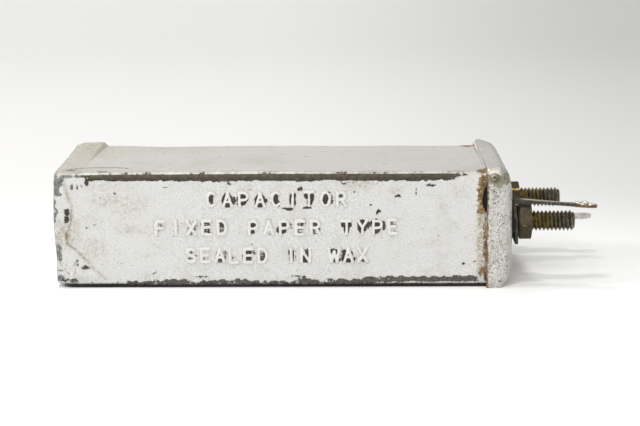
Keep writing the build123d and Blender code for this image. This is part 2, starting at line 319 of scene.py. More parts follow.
def cap_paint():
    """The cap's paint: rougher and more scuffed than the can's, with grey scrapes and dark pits."""
    s = Shader("cap_paint")
    grain = s.noise(0.38, 4, 0.7)
    patch = s.noise(2.6, 5, 0.65)
    side = s.ramp(grain, (0.3, (0.33, 0.315, 0.275)), (0.45, (0.56, 0.55, 0.51)),
                  (0.64, (0.74, 0.73, 0.7)))
    # The cap's top is darker than its sides: aged paint, and painted shade where the top gets less light.
    top = s.ramp(s.noise(0.8, 4, 0.6), (0.3, (0.419, 0.41, 0.391)), (0.7, (0.546, 0.532, 0.505)))
    base = s.mix(s.field("aged_and_shaded"), side, top)
    rubbed = s.step(s.noise(1.0, 4, 0.65, s.stretched(1.0, 1.0, 0.28)), 0.52, 0.64)
    colour = s.mix(s.times(rubbed, 0.55), base, (0.345, 0.32, 0.265))
    scrape = s.times(s.step(patch, 0.53, 0.6), s.field("scuffs"))
    colour = s.mix(s.times(scrape, 0.6), colour, (0.33, 0.32, 0.29))
    pits = s.step(s.noise(0.42, 4, 0.7), 0.565, 0.61)
    thick = s.math("MULTIPLY_ADD", s.field("scuffs"), 0.5, s.step(patch, 0.4, 0.62))
    thick = s.math("MINIMUM", s.times(thick, s.span(s.field("aged_and_shaded"), 1.15, 0.15, 0, 1)), 0.95)
    colour = s.mix(s.times(pits, thick), colour, (0.06, 0.044, 0.026))
    tarnish = s.patches("tarnish", s.noise(1.4, 5, 0.7), 1.3, 0.35, 0.75)
    colour = s.mix(s.times(tarnish, 0.85), colour,
                   s.ramp(grain, (0.35, (0.1, 0.085, 0.045)), (0.65, (0.33, 0.29, 0.19))))
    rust = s.patches("rust", s.noise(0.9, 5, 0.7), 1.5, 0.4, 0.7)
    colour = s.mix(rust, colour, s.ramp(s.noise(0.7, 4, 0.7), (0.3, (0.07, 0.036, 0.018)),
                                        (0.55, (0.22, 0.12, 0.06)), (0.72, (0.5, 0.4, 0.3))))
    # Painted glint: a pale, shiny patch on the cap's top front corner, worn metal brightened to stand for
    # the highlight there.
    glint_patch = s.patches("bare_and_glint", s.noise(0.9, 4, 0.6), 0.8, 0.45, 0.6)
    colour = s.mix(glint_patch, colour, (0.62, 0.6, 0.53))
    gloss = s.mix(s.field("aged_and_shaded"), s.span(patch, 0.4, 0.62), (0.34, 0.34, 0.34))
    gloss = s.mix(glint_patch, gloss, (0.3, 0.3, 0.3))
    normal = s.bump(grain, 0.05)
    normal = s.bump(s.math("SUBTRACT", 1.0, pits), 0.1, normal)
    normal = s.bump(s.noise(1.8, 4, 0.6), 0.08, normal)
    return s.finish(colour, gloss, normal, s.times(glint_patch, 0.7))


def seam_solder():
    """Lumpy old solder and flux, rust brown with pale crusts and black hollows, painted over on top."""
    s = Shader("seam_solder", 0.65)
    lumps = s.noise(0.7, 5, 0.72, s.stretched(1.0, 1.0, 0.35))
    colour = s.ramp(lumps, (0.32, (0.012, 0.009, 0.005)), (0.43, (0.07, 0.042, 0.018)),
                    (0.52, (0.19, 0.12, 0.055)), (0.6, (0.45, 0.36, 0.24)), (0.7, (0.66, 0.61, 0.53)))
    painted = s.patches("painted", s.noise(1.2, 4, 0.7), 1.2, 0.42, 0.58)
    colour = s.mix(painted, colour, (0.56, 0.54, 0.5))
    gloss = s.span(lumps, 0.8, 0.5)
    return s.finish(colour, gloss, s.bump(s.noise(0.5, 4, 0.7), 0.12))


def bright_solder():
    s = Shader("bright_solder", 0.32, 0.85)
    film = s.noise(0.8, 4, 0.6)
    colour = s.ramp(film, (0.35, (0.45, 0.41, 0.35)), (0.6, (0.88, 0.86, 0.82)))
    return s.finish(colour, s.span(film, 0.5, 0.22), s.bump(film, 0.06))


def dull_solder():
    """The drop on the cap: solder gone olive brown, with a bright patch where it was touched."""
    s = Shader("dull_solder", 0.38, 0.6)
    film = s.noise(0.7, 4, 0.65)
    colour = s.ramp(film, (0.32, (0.055, 0.045, 0.022)), (0.5, (0.15, 0.125, 0.07)),
                    (0.66, (0.5, 0.48, 0.4)))
    return s.finish(colour, s.span(film, 0.5, 0.28), s.bump(film, 0.1))


def stud_brass():
    """Dark patina on the thread's crests, with brass showing in its roots."""
    s = Shader("stud_brass", 0.4, 0.75)
    film = s.noise(1.2, 5, 0.65)
    crest = s.ramp(film, (0.3, (0.095, 0.08, 0.048)), (0.52, (0.22, 0.185, 0.115)),
                   (0.72, (0.42, 0.37, 0.26)))
    root = s.ramp(film, (0.35, (0.1, 0.075, 0.012)), (0.62, (0.42, 0.3, 0.03)))
    shown = s.times(s.field("root"), s.step(s.noise(1.6, 3, 0.6), 0.4, 0.55))
    # Painted shade: the thread's valleys darkened nearly to black.
    crest = s.mix(s.times(s.field("valley_shade"), 0.85), crest, (0.022, 0.018, 0.01))
    colour = s.mix(shown, crest, root)
    worn = s.times(s.field("tip"), s.step(film, 0.35, 0.65))
    colour = s.mix(worn, colour, (0.24, 0.22, 0.2))
    return s.finish(colour, s.span(film, 0.32, 0.55), s.bump(s.noise(0.3, 3, 0.6), 0.03))


def nut_brass():
    """Nearly black patina over brass, rubbed through along the nut's corners."""
    s = Shader("nut_brass", 0.45, 0.7)
    film = s.noise(1.5, 5, 0.65)
    flats = s.ramp(film, (0.3, (0.03, 0.024, 0.013)), (0.52, (0.058, 0.047, 0.026)),
                   (0.75, (0.11, 0.092, 0.054)))
    rubbed = s.frayed(s.field("edge"), s.noise(0.9, 4, 0.6), 1.6)
    shown = s.step(rubbed, 0.8, 1.05)
    colour = s.mix(shown, flats, (0.5, 0.33, 0.085))
    spot = s.times(s.step(s.noise(0.6, 2, 0.5), 0.67, 0.72), 0.6)
    colour = s.mix(spot, colour, (0.36, 0.25, 0.07))
    return s.finish(colour, s.span(film, 0.38, 0.6), s.bump(s.noise(0.6, 4, 0.6), 0.04))


def tinned_lug():
    """Tinned brass: matt silver with brown flux stains, and painted shade darkening the plate and the
    tail's front side.
    """
    s = Shader("tinned_lug", 0.38, 0.8)
    film = s.noise(1.7, 5, 0.75)
    tin = s.ramp(s.noise(0.5, 4, 0.6), (0.3, (0.36, 0.34, 0.3)), (0.55, (0.62, 0.6, 0.55)),
                 (0.75, (0.86, 0.85, 0.81)))
    stained = s.frayed(s.field("flux"), film, 2.2)
    brown = s.ramp(s.noise(0.6, 4, 0.7), (0.35, (0.035, 0.022, 0.012)), (0.55, (0.17, 0.095, 0.05)),
                   (0.7, (0.34, 0.27, 0.18)))
    colour = s.mix(s.step(stained, 0.42, 0.58), tin, brown)
    specks = s.times(s.step(s.noise(0.6, 3, 0.6), 0.54, 0.62), s.field("flux"))
    # Painted shade where the mesh's shade field is set, broken by pale specks.
    shaded = s.times(s.field("shade"), s.span(specks, 1.0, 0.25, 0.0, 1.0))
    colour = s.mix(shaded, colour, s.ramp(film, (0.35, (0.016, 0.013, 0.008)), (0.7, (0.085, 0.073, 0.046))))
    metal = s.span(shaded, 0.55, 0.1, 0.0, 1.0)
    return s.finish(colour, s.span(shaded, 0.36, 0.75, 0.0, 1.0), s.bump(film, 0.03), metal)


def black_fibre():
    s = Shader("black_fibre", 0.85)
    s.surface.inputs["Specular IOR Level"].default_value = 0.15
    flecks = s.noise(0.5, 4, 0.6)
    colour = s.ramp(flecks, (0.3, (0.008, 0.008, 0.008)), (0.7, (0.026, 0.024, 0.02)))
    return s.finish(colour, s.span(flecks, 0.75, 0.95), s.bump(flecks, 0.03))


def pressboard():
    s = Shader("pressboard", 0.85)
    fibres = s.noise(0.8, 6, 0.7, s.stretched(0.3, 1, 1))
    colour = s.ramp(fibres, (0.3, (0.3, 0.2, 0.1)), (0.7, (0.52, 0.38, 0.22)))
    return s.finish(colour, None, s.bump(fibres, 0.05))


def kraft_paper():
    s = Shader("kraft_paper", 0.6)
    fibres = s.noise(0.6, 6, 0.7, s.stretched(0.2, 1, 1))
    waxed = s.step(s.noise(6.0, 3, 0.5), 0.4, 0.6)
    colour = s.ramp(fibres, (0.3, (0.42, 0.3, 0.16)), (0.7, (0.62, 0.48, 0.29)))
    return s.finish(s.mix(waxed, colour, (0.33, 0.22, 0.1)), s.span(waxed, 0.7, 0.35, 0, 1),
                    s.bump(fibres, 0.03))


def foil():
    s = Shader("foil", 0.25, 1.0)
    creases = s.cells(3.0)
    colour = s.ramp(s.noise(2.0, 4, 0.6), (0.3, (0.6, 0.6, 0.61)), (0.7, (0.8, 0.8, 0.81)))
    return s.finish(colour, s.span(creases, 0.2, 0.4, 0, 1), s.bump(creases, 0.08))


def cotton_tape():
    s = Shader("cotton_tape", 0.9)
    along = s.noise(0.5, 2, 0.5, s.stretched(0.15, 1, 1))
    across = s.noise(0.5, 2, 0.5, s.stretched(1, 0.15, 0.15))
    weave = s.times(along, across)
    colour = s.ramp(weave, (0.15, (0.55, 0.5, 0.4)), (0.4, (0.8, 0.76, 0.66)))
    return s.finish(colour, None, s.bump(weave, 0.15))


def wax():
    s = Shader("wax", 0.35)
    clouds = s.noise(5.0, 4, 0.6)
    colour = s.ramp(clouds, (0.3, (0.2, 0.11, 0.035)), (0.7, (0.42, 0.27, 0.11)))
    return s.finish(colour, s.span(clouds, 0.25, 0.5), s.bump(s.noise(2.5, 3), 0.1))


# ---------------------------------------------------------------- raised lettering
def arc(x, y, across, up, start, end, count=10):
    angles = np.radians(np.linspace(start, end, count))
    return [(x + across * cos(a), y + up * sin(a)) for a in angles]


P_BOWL = [(0, 1), (0.55, 1)] + arc(0.55, 0.74, 0.4, 0.26, 90, -90) + [(0, 0.48)]
STROKES = {
    "A": [[(0, 0), (0.5, 1), (1, 0)], [(0.2, 0.36), (0.8, 0.36)]],
    "C": [arc(0.5, 0.5, 0.5, 0.5, 50, 310)],
    "D": [[(0, 0), (0, 1), (0.45, 1)] + arc(0.45, 0.5, 0.52, 0.5, 90, -90) + [(0, 0)]],
    "E": [[(0.95, 1), (0, 1), (0, 0), (0.95, 0)], [(0, 0.52), (0.8, 0.52)]],
    "F": [[(0.95, 1), (0, 1), (0, 0)], [(0, 0.52), (0.8, 0.52)]],
    "I": [[(0.5, 0), (0.5, 1)]],
    "L": [[(0, 1), (0, 0), (0.95, 0)]],
    "N": [[(0, 0), (0, 1), (1, 0), (1, 1)]],
    "O": [arc(0.5, 0.5, 0.5, 0.5, 0, 360, 18)],
    "P": [[(0, 0), (0, 1)], P_BOWL],
    "R": [[(0, 0), (0, 1)], P_BOWL, [(0.5, 0.48), (1, 0)]],
    "S": [arc(0.5, 0.74, 0.45, 0.26, 30, 270) + arc(0.5, 0.24, 0.45, 0.24, 90, -150)],
    "T": [[(0, 1), (1, 1)], [(0.5, 1), (0.5, 0)]],
    "W": [[(0, 1), (0.25, 0), (0.5, 0.8), (0.75, 0), (1, 1)]],
    "X": [[(0, 0), (1, 1)], [(0, 1), (1, 0)]],
    "Y": [[(0, 1), (0.5, 0.5), (1, 1)], [(0.5, 0.5), (0.5, 0)]],
}
LETTER_HEIGHT = 3.55
LETTER_WIDTH = 2.2
TEXT_MIDDLE = 58.6
WIDE_LETTERS, WIDENING = "W", 1.3
# Words, height of the line's foot, pitch, and how far the paint has flaked at each letter, 0 to 9
TEXT_LINES = (
    ("CAPACITOR", 22.2, 4.31, "599999984"),
    ("FIXED PAPER TYPE", 14.55, 4.12, "3545405485508993"),
    ("SEALED IN WAX", 6.95, 3.8, "3254650870674"),
)
TEXT_CELL = 0.1
TEXT_LEFT, TEXT_LOW = 24.0, 4.0
TEXT_LONG, TEXT_HIGH = 68.0, 24.0
TEXT_COLUMNS, TEXT_ROWS = round((TEXT_LONG + 1) / TEXT_CELL), round((TEXT_HIGH + 1) / TEXT_CELL)
FAR_AWAY = 99.0


def distance_to_stroke(u, z, stroke):
    nearest = np.full(u.shape, FAR_AWAY)
    for (u0, z0), (u1, z1) in zip(stroke[:-1], stroke[1:]):
        du, dz = u1 - u0, z1 - z0
        share = ((u - u0) * du + (z - z0) * dz) / max(du * du + dz * dz, 1e-9)
        share = np.clip(share, 0, 1)
        nearest = np.minimum(nearest, np.hypot(u - u0 - share * du, z - z0 - share * dz))
    return nearest


def enclosed(distance):
    """How far each place on the lettering's grid is walled in by strokes, 0 to 1."""
    walls = 0
    for angle in np.linspace(0, 2 * pi, 16, endpoint=False):
        hit = np.zeros(distance.shape, bool)
        for reach in (0.5, 0.8, 1.1, 1.4):
            shift = (round(reach * cos(angle) / TEXT_CELL), round(reach * sin(angle) / TEXT_CELL))
            hit |= np.roll(distance, shift, (0, 1)) < 0.3
        walls = walls + hit
    return walls / 16


def draw_text():
    """Maps of the distance to the nearest stroke and of how flaked the paint is, on a fine grid."""
    u, z = np.meshgrid(TEXT_LEFT + TEXT_CELL * np.arange(TEXT_COLUMNS),
                       TEXT_LOW + TEXT_CELL * np.arange(TEXT_ROWS), indexing="ij")
    distance = np.full(u.shape, FAR_AWAY)
    damage = np.zeros(u.shape)
    chance = np.random.default_rng(5)
    for words, foot, pitch, flaking in TEXT_LINES:
        start = TEXT_MIDDLE - (len(words) - 1) * pitch / 2
        for place, (letter, digit) in enumerate(zip(words, flaking)):
            tilt, lift = chance.uniform(-0.04, 0.04), chance.uniform(-0.12, 0.12)
            middle = start + place * pitch
            slot = np.exp(-((u - middle) / 2.2) ** 4 - ((z - foot - LETTER_HEIGHT / 2) / 2.7) ** 4)
            damage = np.maximum(damage, slot * int(digit) / 9)
            if letter == " ":
                continue
            width = LETTER_WIDTH * (WIDENING if letter in WIDE_LETTERS else 1.0)
            near = (abs(u - middle) < 3.4) & (abs(z - foot - LETTER_HEIGHT / 2) < 3.9)
            for stroke in STROKES[letter]:
                placed = [(middle + (x - 0.5) * width + tilt * y * LETTER_HEIGHT,
                           foot + lift + y * LETTER_HEIGHT)
                          for x, y in stroke]
                distance[near] = np.minimum(distance[near], distance_to_stroke(u[near], z[near], placed))
    uneven = 0.5 * value_noise(u, z, 1.7, 6) + 0.3 * value_noise(u, z, 0.6, 7)
    walled = smooth(0.22, 0.5, enclosed(distance) + 0.1 * uneven - 0.16 * (1 - damage))
    flaked = walled * damage * (1.2 + 0.45 * uneven) * smooth(0.28, 0.4, distance)
    return distance, flaked


def look_up(grid, u, z, outside):
    """Reads a lettering map at any place, by blending its four nearest cells."""
    i = np.clip((u - TEXT_LEFT) / TEXT_CELL, 0, TEXT_COLUMNS - 1.001)
    j = np.clip((z - TEXT_LOW) / TEXT_CELL, 0, TEXT_ROWS - 1.001)
    i0, j0 = i.astype(int), j.astype(int)
    fi, fj = i - i0, j - j0
    low = grid[i0, j0] * (1 - fj) + grid[i0, j0 + 1] * fj
    high = grid[i0 + 1, j0] * (1 - fj) + grid[i0 + 1, j0 + 1] * fj
    within = (u > TEXT_LEFT) & (u < TEXT_LEFT + TEXT_LONG) & (z > TEXT_LOW) & (z < TEXT_LOW + TEXT_HIGH)
    return np.where(within, low * (1 - fi) + high * fi, outside)


# ---------------------------------------------------------------- the can
END_BULGE_HEIGHTS = (1.0, 4.0, 8.0, 12.5, 19.0, 25.0, 31.0)
END_BULGE = (0.37, 0.3, 0.18, 0.49, 0.73, 0.5, 0.25)


def can_outline():
    """One turn round the can: points, outward directions and a side name for each."""
    flat_y = HALF_DEPTH - CAN_EDGE
    low, high = BOTTOM + CAN_EDGE, TOP - CAN_EDGE
    front = steps((low, 6.2, 0.45), (6.2, 26.6, 0.215), (26.6, high, 0.4))
    rows = [(-HALF_DEPTH, z, -1.0, 0.0) for z in front]

    def corner(y, z, start):
        for angle in np.radians(np.linspace(start, start - 90, 10)[1:-1]):
            rows.append((y + CAN_EDGE * cos(angle), z + CAN_EDGE * sin(angle), cos(angle), sin(angle)))

    corner(-flat_y, high, 180)
    rows += [(y, TOP, 0.0, 1.0) for y in steps((-flat_y, -12.0, 0.6), (-12.0, flat_y, 2.1))]
    corner(flat_y, high, 90)
    rows += [(HALF_DEPTH, z, 1.0, 0.0) for z in np.linspace(high, low, 18)]
    corner(flat_y, low, 0)
    rows += [(y, BOTTOM, 0.0, -1.0) for y in np.linspace(flat_y, -flat_y, 18)]
    corner(-flat_y, low, -90)
    return np.array(rows).T


# Left edge of the front face: height above the table, and how far the folded-over metal reaches.
FOLD_HEIGHTS = (1.0, 3.5, 5.4, 8.6, 12.2, 15.0, 18.0, 22.5, 26.6, 30.5)
FOLD_REACH = (14.5, 11.6, 9.6, 6.6, 3.3, 3.0, 4.6, 4.4, 3.1, 2.1)
FOLD_THICKNESS = 0.42
FLAP_REACH = 6.9
SLIT_AT = 114.1
LOWER_TUCK = ((0.7, 7.0), (3.6, 3.4))

# Marks on the front face: distance from the left, height, two half-sizes and strength.
DARK_CHIPS = (
    (3.7, 20.9, 0.85, 1.0, 1.0), (3.4, 18.9, 0.7, 0.9, 0.95), (8.6, 29.0, 0.45, 1.3, 1.0),
    (29.7, 27.2, 1.0, 0.25, 0.6), (17.0, 6.7, 1.5, 0.25, 0.5), (20.6, 6.0, 1.4, 0.25, 0.5),
    (25.8, 4.1, 1.2, 0.5, 0.6), (90.7, 24.7, 0.6, 0.45, 0.9), (85.4, 20.4, 0.75, 0.6, 0.85),
    (108.5, 6.5, 0.6, 0.4, 0.8), (95.5, 25.6, 0.2, 1.1, 0.6), (99.0, 27.7, 1.8, 0.4, 0.6),
    (8.3, 16.4, 0.35, 0.25, 0.8), (10.3, 17.2, 0.3, 0.25, 0.7), (15.8, 25.6, 0.4, 0.3, 0.7),
    (3.2, 2.2, 2.4, 0.5, 0.7), (64.0, 3.0, 3.0, 0.4, 0.5), (38.0, 3.0, 2.4, 0.4, 0.5),
    (101.5, 14.0, 0.4, 0.3, 0.6), (52.0, 11.9, 0.5, 0.3, 0.6), (94.6, 12.5, 0.3, 0.2, 0.6),
    (12.0, 24.5, 0.3, 0.2, 0.6), (64.9, 26.6, 1.0, 0.6, 0.95), (61.4, 21.4, 1.3, 0.4, 0.85),
    (66.8, 21.7, 1.4, 0.35, 0.85), (72.4, 25.9, 0.5, 0.3, 0.7), (51.6, 26.7, 0.4, 0.3, 0.75),
    (83.6, 22.4, 0.35, 0.25, 0.75), (79.2, 26.0, 0.3, 0.25, 0.7), (77.0, 28.3, 2.6, 0.4, 0.5),
    (46.0, 28.2, 2.0, 0.4, 0.5),
)
GREY_CHIPS = (
    (1.2, 28.7, 1.6, 1.7, 0.95), (0.9, 26.3, 1.0, 1.1, 0.85), (0.3, 23.2, 0.5, 1.4, 0.75),
    (0.8, 20.8, 0.55, 1.4, 0.75), (0.4, 18.7, 0.5, 0.9, 0.7), (0.9, 9.6, 0.9, 2.3, 0.9),
    (1.0, 2.6, 1.5, 1.1, 0.8), (4.8, 1.9, 1.4, 0.8, 0.75), (5.6, 7.3, 0.5, 1.0, 0.6),
    (7.6, 5.6, 1.1, 0.55, 0.85), (1.2, 5.0, 0.7, 0.6, 0.6), (4.8, 27.5, 0.3, 0.8, 0.8),
    (6.1, 27.6, 0.28, 0.8, 0.75), (7.3, 27.7, 0.28, 0.7, 0.7),
)
TAN_STAINS = (
    (3.0, 14.6, 3.2, 3.6, 0.62), (14.5, 23.8, 4.5, 1.6, 0.48), (19.5, 22.0, 4.0, 3.0, 0.34),
    (19.5, 15.8, 3.4, 1.4, 0.42), (9.5, 10.2, 3.0, 2.6, 0.4), (14.0, 27.6, 5.0, 1.0, 0.32),
    (81.0, 28.2, 3.6, 1.9, 0.66), (90.0, 26.0, 1.6, 1.2, 0.45), (101.0, 12.0, 4.0, 1.2, 0.25),
    (107.5, 25.5, 2.6, 1.2, 0.3),
    (4.9, 5.2, 0.35, 2.0, 0.85), (112.4, 14.0, 0.9, 9.0, 0.42),
)
# The same on the back, and on top as distance from the left and y.
BACK_CHIPS = (
    (6.0, 27.8, 2.2, 0.7, 0.8), (23.0, 28.6, 3.5, 0.4, 0.7), (58.0, 28.4, 5.0, 0.4, 0.65),
    (92.0, 28.0, 2.5, 0.7, 0.7), (104.0, 5.0, 1.2, 0.8, 0.8), (34.0, 4.2, 4.0, 0.5, 0.65),
    (71.0, 17.0, 0.7, 0.5, 0.9), (44.0, 11.5, 0.5, 0.4, 0.8), (15.0, 19.0, 0.5, 0.8, 0.8),
    (2.0, 8.0, 1.0, 4.0, 0.7), (83.0, 22.5, 1.6, 0.2, 0.6), (29.0, 21.0, 0.3, 1.4, 0.6),
)
BACK_STAINS = (
    (12.0, 12.0, 7.0, 5.0, 0.45), (50.0, 24.0, 14.0, 3.0, 0.35), (96.0, 10.0, 8.0, 5.0, 0.45),
    (70.0, 6.0, 10.0, 2.5, 0.35), (32.0, 16.0, 5.0, 2.0, 0.3),
)
TOP_CHIPS = ((3.8, -17.6, 1.9, 1.3, 0.95), (12.3, -20.1, 1.8, 0.9, 1.0), (6.5, -20.3, 2.2, 0.35, 0.7))
TOP_STAINS = ((7.0, 12.0, 8.0, 9.0, 0.5), (21.0, 15.0, 8.0, 6.0, 0.4), (11.5, -17.0, 3.0, 0.8, 0.3))
TOP_RUST = ((112.0, 19.8, 2.2, 2.2, 0.9), (113.2, -20.6, 1.5, 2.4, 1.0))
RUST_STAINS = (
    (112.7, 25.0, 1.15, 4.2, 0.92), (113.0, 29.2, 1.0, 1.5, 1.0), (112.9, 20.6, 1.3, 1.2, 0.95),
    (112.9, 4.6, 0.9, 3.4, 0.55), (111.2, 7.0, 0.5, 0.35, 0.7), (94.6, 12.4, 0.3, 0.2, 0.6),
    (113.5, 13.0, 0.35, 6.0, 0.62),
)


def spots(u, z, marks, seed=17):
    """The strongest of several ragged-edged marks at each place."""
    warp_u = 0.45 * value_noise(u, z, 1.1, seed) + 0.25 * value_noise(u, z, 0.5, seed + 1)
    warp_z = 0.45 * value_noise(z, u, 1.1, seed + 2) + 0.25 * value_noise(z, u, 0.5, seed + 3)
    value = np.zeros(u.shape)
    for u0, z0, half_u, half_z, strength in marks:
        share_u = min(1.0, half_u / 0.8)
        share_z = min(1.0, half_z / 0.8)
        away = np.hypot((u + warp_u * share_u - u0) / half_u, (z + warp_z * share_z - z0) / half_z)
        value = np.maximum(value, strength * (1 - smooth(0.35, 1.75, away)))
    return value


def along_line(u, z, start, end, half_width):
    """1 on a straight crease between two (distance, height) points, fading out beside it."""
    return hill(distance_to_stroke(u + 0.25 * value_noise(u, z, 1.5, 19), z, (start, end)), 0, half_width)


def can_skin():
    """The can's outside before it is worn and dented: rows along it, columns round it."""
    c = SimpleNamespace()
    c.y0, c.z0, c.ny, c.nz = can_outline()
    c.places = steps((0.0, 13.0, 0.26), (13.0, 26.0, 0.5), (26.0, 91.5, 0.235), (91.5, 110.5, 0.5),
                     (110.5, 115.5, 0.28), (115.5, CAN_END - LEFT, 0.75))
    c.u = c.places[:, None] + np.zeros(len(c.y0))
    c.height = c.z0 + 0 * c.u
    c.front, c.top, c.back, c.bottom = (np.clip(facing, 0, 1) ** 2 + 0 * c.u
                                        for facing in (-c.ny, c.nz, c.ny, -c.nz))
    distance_map, flaked_map = draw_text()
    c.distance = np.where(c.front > 0.9, look_up(distance_map, c.u, c.height, FAR_AWAY), FAR_AWAY)
    c.flaked = np.where(c.front > 0.9, look_up(flaked_map, c.u, c.height, 0.0), 0.0)
    fold_edge = np.interp(c.height, FOLD_HEIGHTS, FOLD_REACH) + 0.18 * value_noise(c.height, c.u, 2.5, 3)
    c.past_fold = c.u - fold_edge
    c.flap_rise = np.interp(c.y0, (-7.0, 4.0, 14.0, HALF_DEPTH - 3), (0.0, 0.25, 0.65, 1.18))
    c.flap_edge = FLAP_REACH + 0.25 * value_noise(c.y0, c.u, 5, 4) + 1.2 * smooth(0, 20, c.y0)
    # The slit by the cap is dented in and painted near black as its shadow.
    slit_bow = np.clip(1 - ((c.z0 - 23.7) / 3.7) ** 2, 0, 1) + 0.1 * value_noise(c.z0, c.u, 1.5, 23)
    c.slit = smooth(-0.18, 0.18, c.u - SLIT_AT + 1.05 * slit_bow) * (c.u < SLIT_AT + 0.5)
    c.slit = c.slit * window(20.6, 26.8, 0.8, c.z0) * c.front
    return c


def shape_can(c):
    """Moves the skin in and out: folded ends, flap, waves, lettering, slit and the hem under the front."""
    u, z, front = c.u, c.height, c.front
    fold = (1 - smooth(-0.22, 0.22, c.past_fold)) * (0.75 + 0.25 * smooth(0, 6, u))
    side_fold = FOLD_THICKNESS * fold * window(3.2, 29.0, 1.5, z)
    side_fold = side_fold - 0.14 * hill(c.past_fold, 0.35, 0.35) * window(3.0, 29.5, 1.0, z)
    flap = 1 - smooth(-1, 1, (u - c.flap_edge) / (0.3 + 0.55 * smooth(6, 20, c.y0)))
    flap = flap * c.flap_rise * (0.5 + 0.5 * smooth(0, 2.4, u))
    wave = 0.16 * value_noise(u + 13 * c.ny, c.y0 + z, 27, 11) + 0.05 * value_noise(u, c.y0 - z, 9, 12)
    wave = wave * smooth(0, 5, u) * (1 - smooth(108, 113, u))
    wave = wave + 0.32 * hill(u, 13, 8) * smooth(2, 20, c.y0) * c.top
    letters = 0.44 * (1 - smooth(0.24, 0.56, c.distance)) - 0.05 * (1 - smooth(0.56, 1.3, c.distance))
    pucker = 0.35 * hill(u, 112.6, 0.8) * window(20.5, 28.0, 1.5, z)
    hollow = 0.12 * window(8, 108, 10, u) * window(8, 25, 5, z)
    tuck = along_line(u, z, *LOWER_TUCK, 0.35) + 0.7 * along_line(u, z, (4.9, 7.6), (4.7, 3.6), 0.3)
    lift = (front + c.back) * side_fold + c.top * flap + wave - 0.42 * c.slit
    lift = lift + front * (letters + pucker - hollow - 0.16 * tuck)
    hem = window(-21.9, -19.8, 0.5, c.y0) * (c.z0 < MIDDLE) * c.bottom * smooth(0.5, 4.0, u)
    c.y = c.y0 + c.ny * lift - 1.0 * hem
    c.z = np.maximum(z + c.nz * lift, BOTTOM - 0.45) - 0.85 * hem
    c.ragged = 0.55 * value_noise(u, c.z, 2.2, 21) + 0.35 * value_noise(u, c.z, 0.8, 22)
    c.rim = 0.34 + 0.3 * c.ragged
    c.below_rim = 1 - smooth(0.42, 0.6, c.top)
    c.upper_front = (c.y0 < -HALF_DEPTH + 2.6) & (c.z0 > MIDDLE)
    c.lower_front = (c.y0 < -HALF_DEPTH + 2.0) & (c.z0 < MIDDLE)


def can_bare(c):
    """Where paint is off: bands along both front edges, worn edges, chips, and inside the letters."""
    u, height, ragged, top = c.u, c.height, c.ragged, c.top
    nibbled = 0.1 * value_noise(u, c.z, 6.0, 24) + 0.14 * value_noise(u, c.z, 1.0, 25)
    band = smooth(-0.3, 0.3, height - 28.95 + 1.4 * nibbled) * window(9.0, 111.0, 0.8, u + ragged)
    band = band * (1 - smooth(103.5, 112.0, u + 4 * ragged))
    sliver = 0.62 * window(30.0, 30.7, 0.3, height) * window(2.0, 9.5, 0.8, u)
    rim = c.rim * (1 - c.below_rim) * (1 - smooth(0.86, 0.99, top))
    upper = np.maximum(band, sliver) * c.below_rim + rim
    foot_top = np.interp(u, (12, 26, 48, 78, 90, 112), (2.1, 2.4, 2.3, 2.45, 3.0, 2.95))
    foot_low = np.interp(u, (70, 95), (1.5, 1.78))
    foot = (0.86 + 0.72 * ragged) * smooth(-0.22, 0.22, height - foot_low)
    foot = foot * (1 - smooth(-0.3, 0.3, height - foot_top + 2.6 * nibbled))
    foot = foot * window(21.0, 111.0, 3.0, u + 2 * ragged)
    edges = 0.5 * (1 - np.maximum.reduce([c.front, top, c.back, c.bottom]))
    c.dark_chips = spots(u, height, DARK_CHIPS)
    bare_and_glint = np.maximum.reduce([
        c.upper_front * upper, c.lower_front * foot,
        (c.y0 > 0) * (1.3 * edges + 0.4 * ragged * (edges > 0.1)),
        c.dark_chips * c.front, spots(u, height, BACK_CHIPS, 57) * c.back, c.flaked, 0 * u,
        spots(u, height, GREY_CHIPS, 27) * np.maximum(c.front, 0.75 * top * (c.y0 < -18)),
        (0.6 + 0.5 * ragged) * (1 - smooth(0.0, 0.9, u))])
    bare_and_glint = np.where(c.distance < 0.3, np.minimum(bare_and_glint, 0.1), bare_and_glint)
    streak_y = -16.9 + 2.8 * np.exp(-((u - 11.0) / 7.5) ** 4) + 0.25 * ragged
    streak = hill(c.y0, streak_y, 0.75) * window(4.0, 18.5, 1.5, u) * top
    c.streak = np.maximum(streak, spots(u, c.y0, TOP_CHIPS, 71) * top)
    # The bottom face is also bare dark metal, which doubles as painted shade: it keeps light from bouncing
    # into the gap under the can.
    return np.maximum.reduce([bare_and_glint, 0.8 * c.streak, (0.7 + 0.3 * ragged) * c.bottom])


def can_grey(c):
    """Where the bare metal is grey rather than olive."""
    grey = np.maximum(1 - smooth(4.0, 9.0, c.u), 0.28 * c.lower_front * (1 - smooth(3.4, 4.4, c.height)))
    return np.maximum.reduce([grey * (c.dark_chips < 0.4), (c.y0 > 0) * 0.5 + 0 * c.u,
                              (c.streak > 0.3) * 1.0])


def can_rust(c):
    """Rust round the slit and the cap's mouth, in the top's corners and along the folds."""
    crease_line = hill(c.past_fold, 0.1, 0.32) * window(4.0, 26.0, 2, c.height) * c.front
    rust = np.maximum.reduce([
        spots(c.u, c.height, RUST_STAINS, 37) * c.front, spots(c.u, c.y0, TOP_RUST, 41) * c.top,
        (0.6 + 0.35 * c.ragged) * smooth(113.0, 113.9, c.u) * (1 - 0.55 * c.top),
        0.55 * along_line(c.u, c.height, (0.7, 7.2), (3.6, 3.4), 0.3) * c.front,
        (0.5 + 0.5 * c.ragged) * crease_line])
    return np.where((c.distance < 3) | c.bottom.astype(bool), 0.0, rust)


